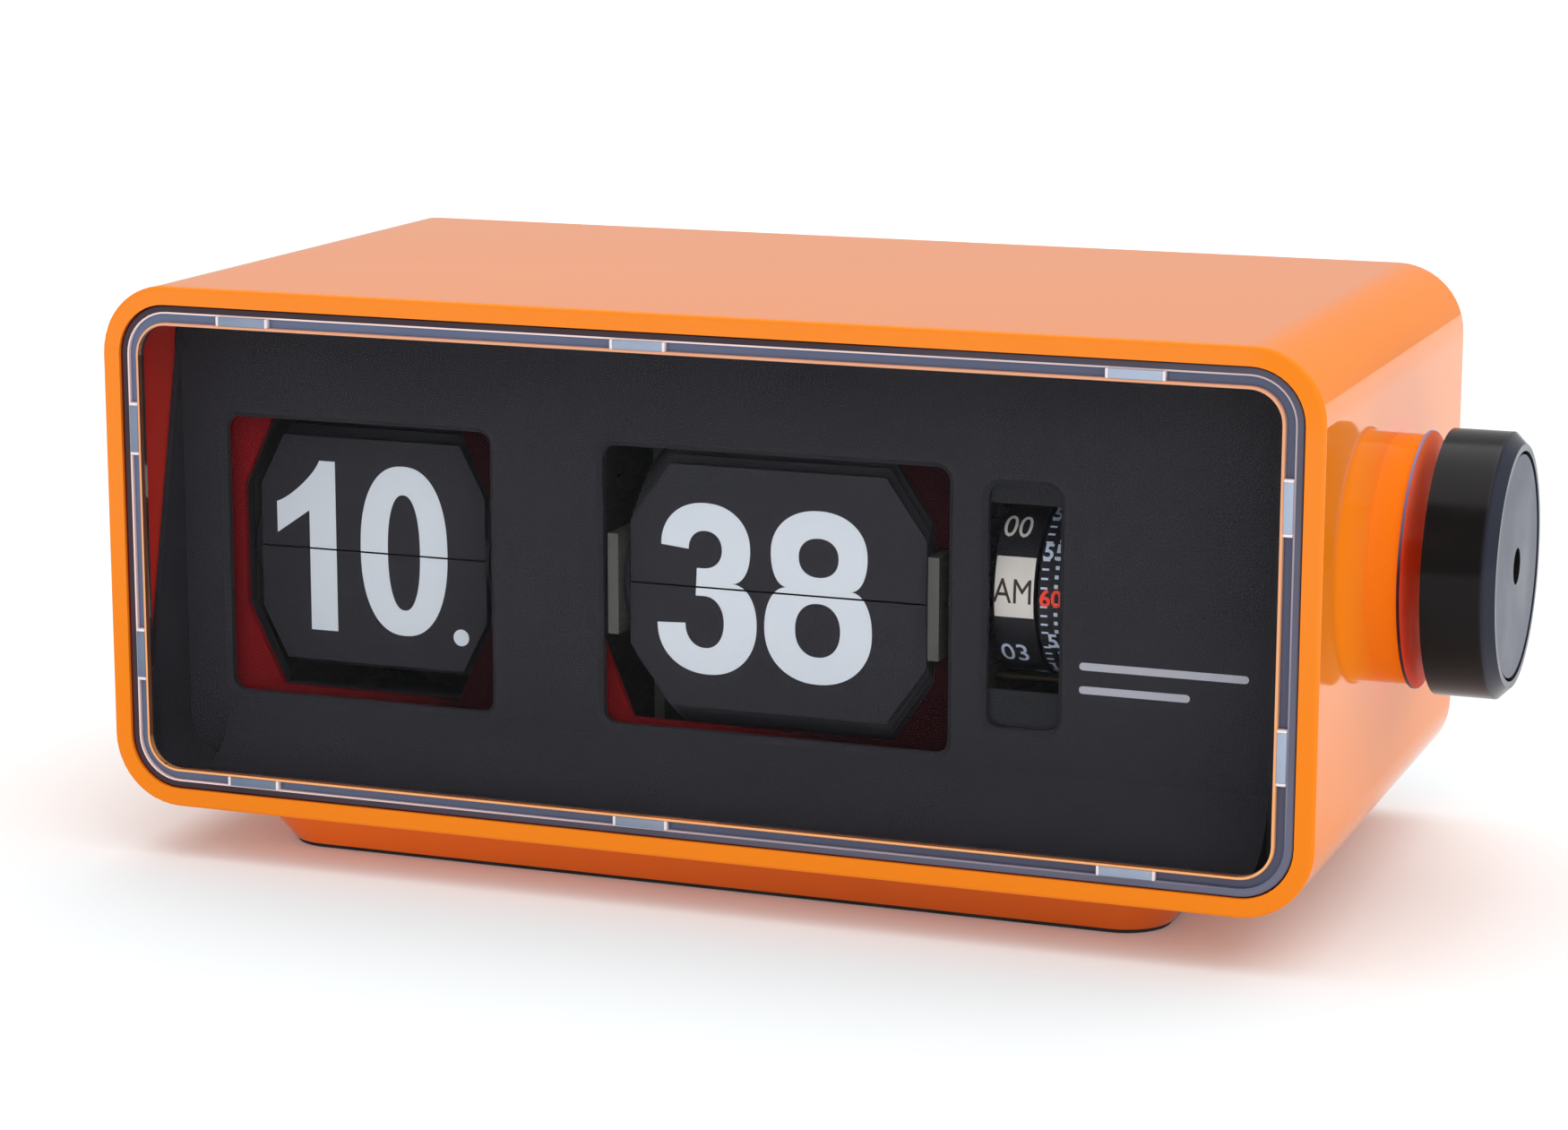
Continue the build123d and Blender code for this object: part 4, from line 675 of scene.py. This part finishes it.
def quarter(start, end, how, power):
    """Points of a quarter of a rounded curve; it leaves start across or down, as how says."""
    points = []
    for step in range(1, QUARTER_STEPS + 1):
        angle = math.pi / 2 * step / QUARTER_STEPS
        rise = math.sin(angle) ** (2.0 / power)
        fall = max(math.cos(angle), 0.0) ** (2.0 / power)
        if how in ("across", "flag"):
            u = start[0] + (end[0] - start[0]) * rise
            v = end[1] + (start[1] - end[1]) * fall
        else:
            u = end[0] + (start[0] - end[0]) * fall
            v = start[1] + (end[1] - start[1]) * rise
        points.append((u, v))
    return points


def outline(path, power=CURVE_POWER):
    """Closed outline from points (across, down, how the curve gets there)."""
    points = [path[0][:2]]
    for u, v, how in path[1:]:
        if how == "line":
            points.append((u, v))
        else:
            points += quarter(points[-1], (u, v), how, FLAG_POWER if how == "flag" else power)
    if math.dist(points[0], points[-1]) < SAME_POINT:
        points.pop()
    return points


def oval(left, right_edge, top, bottom, power=OVAL_POWER):
    """Closed rounded outline that fills a box."""
    middle = (left + right_edge) / 2
    level = (top + bottom) / 2
    return outline([(middle, top, ""), (right_edge, level, "across"), (middle, bottom, "down"),
                    (left, level, "across"), (middle, top, "down")], power)


NUMERALS = {
    "0": [oval(0.0, 15.9, 0.0, 28.6), oval(5.0, 10.9, 4.8, 24.3)],
    "1": [outline([(8.0, 0.0, ""), (10.9, 0.0, "line"), (10.9, 28.8, "line"), (6.0, 28.8, "line"),
                   (6.0, 8.5, "line"), (0.0, 12.6, "line"), (0.0, 7.3, "line"), (8.0, 0.0, "flag")])],
    "3": [outline([(0.7, 7.1, ""), (8.2, 0.0, "down"), (15.9, 7.3, "across"), (12.7, 12.8, "down"),
                   (17.0, 19.4, "across"), (8.8, 27.9, "down"), (0.0, 19.9, "across"), (4.8, 19.7, "line"),
                   (8.2, 23.6, "down"), (11.4, 19.4, "across"), (8.0, 15.1, "down"), (6.6, 15.1, "line"),
                   (6.8, 10.6, "line"), (7.9, 10.6, "line"), (11.1, 7.5, "across"), (8.2, 4.5, "down"),
                   (5.4, 7.6, "across")])],
    "8": [outline([(9.2, 0.0, ""), (17.3, 7.1, "across"), (14.4, 12.6, "down"), (18.1, 19.4, "across"),
                   (9.1, 28.0, "down"), (0.0, 19.4, "across"), (3.9, 12.6, "down"), (1.1, 7.1, "across"),
                   (9.2, 0.0, "down")]),
          oval(5.8, 12.5, 4.4, 10.7, COUNTER_POWER), oval(5.2, 12.8, 14.9, 23.6, COUNTER_POWER)],
    "9": [outline([(0.9, 20.6, ""), (5.6, 20.2, "line"), (8.6, 23.6, "down"), (12.6, 16.4, "across"),
                   (8.2, 18.2, "down"), (0.0, 9.2, "across"), (8.8, 0.0, "down"), (17.6, 13.4, "across"),
                   (8.4, 27.9, "down"), (0.9, 20.6, "across")]),
          oval(5.0, 12.4, 4.5, 13.8, COUNTER_POWER)],
}


def flat_mesh(name, outlines, thickness, to_point):
    """Filled outlines with a thickness; to_point turns (across, down, depth) into a point, in mm."""
    curve = bpy.data.curves.new(name, "CURVE")
    curve.dimensions = "2D"
    curve.fill_mode = "BOTH"
    curve.extrude = thickness / 2
    for points in outlines:
        spline = curve.splines.new("POLY")
        spline.points.add(len(points) - 1)
        for target, (u, v) in zip(spline.points, points):
            target.co = (u, -v, 0.0, 1.0)
        spline.use_cyclic_u = True
    holder = bpy.data.objects.new(name, curve)
    mesh = bpy.data.meshes.new_from_object(holder)
    bpy.data.objects.remove(holder)
    bpy.data.curves.remove(curve)
    for vertex in mesh.vertices:
        vertex.co = Vector(to_point(vertex.co.x, -vertex.co.y, vertex.co.z)) * MM
    return mesh


# Distances in metres.
WELD_DISTANCE = 1e-7
ON_PLANE = 1e-8


def cut_and_close(mesh, level, keep_above):
    """Keeps the part of the mesh above or below a height, in mm, and closes the cut."""
    work = bmesh.new()
    work.from_mesh(mesh)
    bmesh.ops.remove_doubles(work, verts=work.verts, dist=WELD_DISTANCE)
    bmesh.ops.bisect_plane(work, geom=work.verts[:] + work.edges[:] + work.faces[:], dist=ON_PLANE,
                           plane_co=(0, 0, level * MM), plane_no=UP,
                           clear_inner=keep_above, clear_outer=not keep_above)
    bmesh.ops.holes_fill(work, edges=[edge for edge in work.edges if edge.is_boundary], sides=0)
    work.to_mesh(mesh)
    work.free()


def join_meshes(name, meshes):
    """One mesh made of several."""
    work = bmesh.new()
    for mesh in meshes:
        work.from_mesh(mesh)
    joined = bpy.data.meshes.new(name)
    work.to_mesh(joined)
    work.free()
    fix_normals(joined)
    return joined


INK = 0.06
INK_PROUD = 0.04
DOT_RADIUS = 1.4
SPLIT_HALF = 0.15
arbor_low, arbor_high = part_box("minute_arbor")
axis_y = (arbor_low.y + arbor_high.y) / 2 / MM
split_z = (arbor_low.z + arbor_high.z) / 2 / MM

NUMERALS["."] = [oval(0.0, 2 * DOT_RADIUS, 0.0, 2 * DOT_RADIUS, ROUND_POWER)]


def placed_numerals(places, top_z, front):
    """Meshes of the numerals at (character, left edge x) on a leaf whose front face lies at y = front."""
    made = []
    for character, left in places:
        def to_point(u, v, depth, left=left):
            return (left + u, front + INK / 2 - INK_PROUD + depth, top_z - v)
        made.append(flat_mesh("numeral", NUMERALS[character], INK, to_point))
    return made


def half_number(name, places, top_z, front, upper, dots=()):
    """Upper or lower half of a number on a face at y = front; a dot is (left edge x, top z)."""
    meshes = placed_numerals(places, top_z, front)
    for x, z in dots:
        meshes += placed_numerals([(".", x)], z, front)
    for mesh in meshes:
        cut_and_close(mesh, split_z + (SPLIT_HALF if upper else -SPLIT_HALF), upper)
    return join_meshes(name, [m for m in meshes if len(m.polygons)])


def turned_over(mesh, hinge_y):
    """Moves print made for a fallen leaf to the back of the leaf where it stands now."""
    for vertex in mesh.vertices:
        y = vertex.co.y / MM
        z = vertex.co.z / MM
        vertex.co.y = (2 * hinge_y - y) * MM
        vertex.co.z = (2 * split_z - z) * MM


HINGE_AHEAD = 0.3
MINUTE_TOP = 61.0
HOUR_TOP = 62.2
MINUTE_TEXT = (("3", -12.9), ("8", 5.4))
NEXT_MINUTE_TEXT = (("3", -12.9), ("9", 5.6))
HOUR_TEXT = (("1", -84.1), ("0", -68.7))
NEXT_HOUR_TEXT = (("1", -80.6), ("1", -66.0))
HOUR_DOT = (-51.9, 35.5)

for name, leaf, body, number, top_z, upper, dots in (
    ("minute_print_top", "minute_top_leaf", "minute_leaf", MINUTE_TEXT, MINUTE_TOP, True, ()),
    ("minute_print_lower", "minute_lower_leaf", "case", MINUTE_TEXT, MINUTE_TOP, False, ()),
    ("hour_print_top", "hour_top_leaf", "hour_leaf", HOUR_TEXT, HOUR_TOP, True, ()),
    ("hour_print_lower", "hour_lower_leaf", "case", HOUR_TEXT, HOUR_TOP, False, (HOUR_DOT,)),
):
    leaf_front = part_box(leaf)[0].y / MM
    mesh = half_number(name, number, top_z, leaf_front, upper, dots)
    add_piece(name, mesh, printed_white, body)

for name, leaf, body, number, top_z, dots in (
    ("minute_print_back", "minute_top_leaf", "minute_leaf", NEXT_MINUTE_TEXT, MINUTE_TOP, ()),
    ("hour_print_back", "hour_top_leaf", "hour_leaf", NEXT_HOUR_TEXT, HOUR_TOP, (HOUR_DOT,)),
):
    low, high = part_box(leaf)
    hinge_y = (low.y + high.y) / 2 / MM - HINGE_AHEAD
    fallen_front = 2 * hinge_y - high.y / MM
    mesh = half_number(name, number, top_z, fallen_front, False, dots)
    turned_over(mesh, hinge_y)
    add_piece(name, mesh, printed_white, body)

LEAF_THICKNESS = 0.2
FAN_PITCH = 0.7
MINUTE_LEAVES = 60
HOUR_LEAVES = 24
for name, leaf, number, top_z, leaf_count in (
    ("minute_print_next", "minute_top_leaf", NEXT_MINUTE_TEXT, MINUTE_TOP, MINUTE_LEAVES),
    ("hour_print_next", "hour_top_leaf", NEXT_HOUR_TEXT, HOUR_TOP, HOUR_LEAVES),
):
    pivot_radius = axis_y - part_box(leaf)[0].y / MM - LEAF_THICKNESS / 2
    turn = 2 * math.pi / leaf_count
    lean = turn / 2
    leaf_y = axis_y - pivot_radius + FAN_PITCH
    hinge_z = split_z + pivot_radius * math.sin(turn)
    made = []
    for character, left in number:
        def to_point(u, v, depth, left=left):
            rise = top_z - v - split_z
            ahead = LEAF_THICKNESS / 2 + INK_PROUD - INK / 2 - depth
            return (left + u, leaf_y + rise * math.sin(lean) - ahead * math.cos(lean),
                    hinge_z + rise * math.cos(lean) + ahead * math.sin(lean))
        made.append(flat_mesh("numeral", NUMERALS[character], INK, to_point))
    for mesh in made:
        cut_and_close(mesh, hinge_z + SPLIT_HALF, True)
    add_piece(name, join_meshes(name, made), printed_white, "case")


# ---------------------------------------------------------------- alarm drum and seconds wheel
DRUM_INK = 0.05
DRUM_INK_SUNK = 0.01
LETTER_ROWS = 8
LETTER_CUT = 1e-5
CAPITAL_SHARE = 0.72
CURVE_STEPS = 3
PATCH_STEPS = 12
wheel_low, wheel_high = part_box("seconds_wheel")
dial_y = (wheel_low.y + wheel_high.y) / 2 / MM
dial_z = (wheel_low.z + wheel_high.z) / 2 / MM


def round_drum(radius, middle_x, angle, lift=0.0):
    """Point maker for print round a drum, lifted off it; angle is measured up from its front."""
    def to_point(u, v, depth):
        reach = radius + lift + DRUM_INK / 2 - DRUM_INK_SUNK + depth
        here = math.radians(angle) - v / (radius + lift)
        return (middle_x + u, dial_y - reach * math.cos(here), dial_z + reach * math.sin(here))
    return to_point


def lettering(text, height, to_point, bold=0.0, narrow=1.0):
    """Small plain lettering centred on the origin of to_point; narrow scales its width."""
    curve = bpy.data.curves.new(text, "FONT")
    curve.body = text
    curve.size = height / CAPITAL_SHARE
    curve.extrude = DRUM_INK / 2
    curve.offset = bold
    curve.resolution_u = CURVE_STEPS
    curve.align_x = "CENTER"
    holder = bpy.data.objects.new(text, curve)
    mesh = bpy.data.meshes.new_from_object(holder)
    bpy.data.objects.remove(holder)
    bpy.data.curves.remove(curve)
    work = bmesh.new()
    work.from_mesh(mesh)
    row = height / LETTER_ROWS
    for k in range(LETTER_ROWS + 1):
        bmesh.ops.bisect_plane(work, geom=work.verts[:] + work.edges[:] + work.faces[:],
                               dist=LETTER_CUT, plane_co=(0, k * row, 0), plane_no=(0, 1, 0))
    for vertex in work.verts:
        u, v, depth = vertex.co
        vertex.co = Vector(to_point(u * narrow, height / 2 - v, depth)) * MM
    work.to_mesh(mesh)
    work.free()
    return mesh


def patch_mesh(half_width, half_height, to_point, steps=PATCH_STEPS):
    """Rectangle with a thickness, cut into strips so that it follows a drum."""
    work = bmesh.new()
    section = (
        (-half_width, -DRUM_INK / 2), (half_width, -DRUM_INK / 2),
        (half_width, DRUM_INK / 2), (-half_width, DRUM_INK / 2),
    )
    rows = []
    for step in range(steps + 1):
        v = half_height * (2 * step / steps - 1)
        rows.append([work.verts.new(Vector(to_point(u, v, depth)) * MM) for u, depth in section])
    for upper, lower in zip(rows, rows[1:]):
        for k in range(4):
            work.faces.new((upper[k], upper[(k + 1) % 4], lower[(k + 1) % 4], lower[k]))
    work.faces.new(rows[0])
    work.faces.new(rows[-1])
    mesh = bpy.data.meshes.new("patch")
    work.to_mesh(mesh)
    work.free()
    return mesh


# The first number after each text is its angle in degrees, up from the front of the drum.
ALARM_RADIUS = 14.2
HALF_DAYS = (("AM", 7.2), ("PM", 187.2))
FIELD_X = 46.95
FIELD_HALF_WIDTH = 3.15
FIELD_HALF_ANGLE = math.radians(19.3)
MARK_X = 46.8
MARK_DROP = 2.0
MARK_HEIGHT = 4.0
MARK_NARROW = 0.8
FIRST_HOURS = (("00", 48.5), ("09", 139.5))
FIRST_HOURS_X = 46.2
LATER_HOURS = (("03", -40.5), ("06", -131.5))
LATER_HOURS_X = 46.3
HOUR_HEIGHT = 4.2
HOUR_NARROW = 0.82
TICK_X = 49.0
TICK_HALF_WIDTH = 0.9
TICK_HALF_HEIGHT = 0.2
TICK_ANGLES = (*range(77, 122, 9), *range(-104, -60, 9))

fields = []
marks = []
for mark, angle in HALF_DAYS:
    on_drum = round_drum(ALARM_RADIUS, FIELD_X, angle)
    fields.append(patch_mesh(FIELD_HALF_WIDTH, FIELD_HALF_ANGLE * ALARM_RADIUS, on_drum))
    on_field = round_drum(ALARM_RADIUS, MARK_X, angle - MARK_DROP, DRUM_INK)
    marks.append(lettering(mark, MARK_HEIGHT, on_field, narrow=MARK_NARROW))
hours_by_row = []
for hours, x in ((FIRST_HOURS, FIRST_HOURS_X), (LATER_HOURS, LATER_HOURS_X)):
    hours_by_row.append([
        lettering(hour, HOUR_HEIGHT, round_drum(ALARM_RADIUS, x, angle), narrow=HOUR_NARROW)
        for hour, angle in hours
    ])
ticks = []
for angle in TICK_ANGLES:
    on_drum = round_drum(ALARM_RADIUS, TICK_X, angle)
    ticks.append(patch_mesh(TICK_HALF_WIDTH, TICK_HALF_HEIGHT, on_drum, steps=1))
for name, meshes, look in (
    ("alarm_fields", fields, printed_ivory),
    ("alarm_marks", marks, printed_dark),
    ("alarm_hours", hours_by_row[0], printed_ivory),
    ("alarm_hours_later", hours_by_row[1], printed_blue_white),
    ("alarm_ticks", ticks, printed_blue_white),
):
    add_piece(name, join_meshes(name, meshes), look, "alarm_dial")

SECONDS_RADIUS = 14.0
SECONDS_START = 2.0
SECONDS_COUNT = 60
SECONDS_PER_NUMBER = 5
SECONDS_X = 52.8
SECONDS_HEIGHT = 2.7
SECONDS_BOLD = 0.06
ZERO_BOLD = 0.08
DASH_X = 51.7
DASH_HALF_WIDTH = 0.55
DASH_HALF_HEIGHT = 0.16
SQUARE_X = 53.6
SQUARE_HALF = 0.3
SQUARE_TURN = 1.5
seconds_marks = []
for index in range(1, SECONDS_COUNT):
    angle = SECONDS_START + index * 360 / SECONDS_COUNT
    if index % SECONDS_PER_NUMBER:
        on_wheel = round_drum(SECONDS_RADIUS, DASH_X, angle)
        seconds_marks.append(patch_mesh(DASH_HALF_WIDTH, DASH_HALF_HEIGHT, on_wheel, steps=1))
        on_wheel = round_drum(SECONDS_RADIUS, SQUARE_X, angle + SQUARE_TURN)
        seconds_marks.append(patch_mesh(SQUARE_HALF, SQUARE_HALF, on_wheel, steps=1))
    else:
        on_wheel = round_drum(SECONDS_RADIUS, SECONDS_X, angle)
        number = str(SECONDS_COUNT - index)
        seconds_marks.append(lettering(number, SECONDS_HEIGHT, on_wheel, bold=SECONDS_BOLD))
on_wheel = round_drum(SECONDS_RADIUS, SECONDS_X, SECONDS_START)
zero_mark = lettering(str(SECONDS_COUNT), SECONDS_HEIGHT, on_wheel, bold=ZERO_BOLD)
for name, meshes, look in (
    ("seconds_marks", seconds_marks, printed_blue_white),
    ("seconds_zero", [zero_mark], printed_red),
):
    add_piece(name, join_meshes(name, meshes), look, "seconds")

# ---------------------------------------------------------------- plain bars where a name would be
BAR_LEFT = 58.6
BAR_HALF = 0.6
BAR_THICK = 0.06
BAR_PROUD = 0.02
BARS = ((26.6, 40.6), (17.5, 36.9))
panel_face = sleeve_low.y / MM + PANEL_DEPTH
bars = []
for length, z in BARS:
    bar = outline([
        (BAR_HALF, 0.0, ""), (length - BAR_HALF, 0.0, "line"), (length, BAR_HALF, "across"),
        (length - BAR_HALF, 2 * BAR_HALF, "down"), (BAR_HALF, 2 * BAR_HALF, "line"),
        (0.0, BAR_HALF, "across"), (BAR_HALF, 0.0, "down"),
    ], ROUND_POWER)

    def to_point(u, v, depth, z=z):
        return (BAR_LEFT + u, panel_face - BAR_PROUD + depth, z + BAR_HALF - v)
    bars.append(flat_mesh("bar", [bar], BAR_THICK, to_point))
add_piece("badge_bars", join_meshes("badge_bars", bars), silver_print, "case")

# ---------------------------------------------------------------- dial disc behind the knob
disc_low, disc_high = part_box("dial_disc")
DISC_THICK = 1.3
COLLAR_RADIUS = 19.6
DISC_BORE = 4.0
EDGE_RING = 0.14
EDGE_THICK = 0.45
EDGE_BEVEL = 0.1
CLEARANCE = 0.02
TURN_STEPS = 96
knob_y = (disc_low.y + disc_high.y) / 2 / MM
knob_z = (disc_low.z + disc_high.z) / 2 / MM
disc_radius = (disc_high.z - disc_low.z) / 2 / MM
disc_ring = disc_radius - EDGE_RING
disc_outer = disc_high.x / MM
disc_inner = disc_outer - DISC_THICK
disc_back = disc_low.x / MM
edge_inner = disc_outer - EDGE_THICK
plate_outer = disc_outer - CLEARANCE


def turned_mesh(name, profile):
    """Closed ring turned round the knob's axis from (radius, x) points in mm."""
    vertices = []
    for step in range(TURN_STEPS):
        angle = 2 * math.pi * step / TURN_STEPS
        for radius, x in profile:
            y = knob_y + radius * math.cos(angle)
            z = knob_z + radius * math.sin(angle)
            vertices.append((x * MM, y * MM, z * MM))
    count = len(profile)
    faces = []
    for step in range(TURN_STEPS):
        after = (step + 1) % TURN_STEPS
        for k in range(count):
            j = (k + 1) % count
            faces.append((step * count + k, step * count + j, after * count + j, after * count + k))
    mesh = bpy.data.meshes.new(name)
    mesh.from_pydata(vertices, [], faces)
    fix_normals(mesh)
    return mesh


for name, look, slot_name, profile in (
    ("dial_plate", dial_red_painted_glow, "clear", [
        (DISC_BORE, edge_inner), (disc_ring, edge_inner), (disc_ring, plate_outer),
        (DISC_BORE, plate_outer),
    ]),
    ("dial_edge", dial_edge, "clear", [
        (disc_ring, edge_inner), (disc_radius, edge_inner), (disc_radius, disc_outer - EDGE_BEVEL),
        (disc_radius - EDGE_BEVEL, disc_outer), (disc_ring, disc_outer),
    ]),
    ("dial_collar", orange, "case_orange", [
        (DISC_BORE, disc_back), (COLLAR_RADIUS, disc_back), (COLLAR_RADIUS, disc_inner),
        (disc_ring - CLEARANCE, edge_inner), (DISC_BORE, edge_inner),
    ]),
):
    piece = add_piece(name, turned_mesh(name, profile), look, "case")
    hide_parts("dial_disc")

# ---------------------------------------------------------------- lights, floor and world
# Floor sizes in metres.
FLOOR_HALF = 6.0
GLOW_NEAR = 0.30
GLOW_FAR = 1.5
NEAR_STRENGTH = 0.09
FAR_STRENGTH = 0.30
FLOOR_GLOW = (0.90, 0.97, 1.0)
WORLD_STRENGTH = 0.57

floor_mesh = bpy.data.meshes.new("floor")
floor_corners = [(sx * FLOOR_HALF, sy * FLOOR_HALF, 0) for sx, sy in ((-1, -1), (1, -1), (1, 1), (-1, 1))]
floor_mesh.from_pydata(floor_corners, [], [(0, 1, 2, 3)])
floor = bpy.data.objects.new("floor", floor_mesh)
scene.collection.objects.link(floor)
floor_white = plastic("studio_floor", (0.80, 0.825, 0.835), 0.9, spread=0.004, patch=0.4, bump=0.0,
                      specular=0.05)


def brighten_far_floor(material):
    """Lifts the floor away from the object to the even white of a studio sweep."""
    tree = material.node_tree
    ramp = tree.nodes.new("ShaderNodeMapRange")
    ramp.inputs["From Min"].default_value = GLOW_NEAR
    ramp.inputs["From Max"].default_value = GLOW_FAR
    ramp.inputs["To Min"].default_value = NEAR_STRENGTH
    ramp.inputs["To Max"].default_value = FAR_STRENGTH
    tree.links.new(vector_maths(tree, "LENGTH", place_socket(material)), ramp.inputs["Value"])
    shader = tree.nodes["Principled BSDF"]
    shader.inputs["Emission Color"].default_value = (*FLOOR_GLOW, 1.0)
    tree.links.new(ramp.outputs["Result"], shader.inputs["Emission Strength"])


brighten_far_floor(floor_white)
floor_mesh.materials.append(floor_white)
floor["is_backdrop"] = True


def soft_sun(name, place, strength, spread_degrees):
    """Large soft light shining from the direction of place towards the object."""
    data = bpy.data.lights.new(name, "SUN")
    data.energy = strength
    data.angle = math.radians(spread_degrees)
    lamp = bpy.data.objects.new(name, data)
    scene.collection.objects.link(lamp)
    lamp.location = place
    lamp.rotation_euler = (-Vector(place)).to_track_quat("-Z", "Y").to_euler()


soft_sun("front_light", (0.5, -1.0, 0.5), 0.88, 60.0)
soft_sun("top_light", (0.12, 0.12, 1.0), 1.93, 80.0)
soft_sun("side_light", (1.0, -0.1, 0.35), 0.20, 70.0)

world = bpy.data.worlds.new("studio")
world.use_nodes = True
backdrop = world.node_tree.nodes["Background"]
backdrop.inputs["Color"].default_value = (1.0, 1.0, 1.0, 1.0)
backdrop.inputs["Strength"].default_value = WORLD_STRENGTH
scene.world = world

# ---------------------------------------------------------------- sizes, then finish
shown_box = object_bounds()
boxes = {"cad": [list(corner) for corner in cad_box], "visual": [list(corner) for corner in shown_box]}
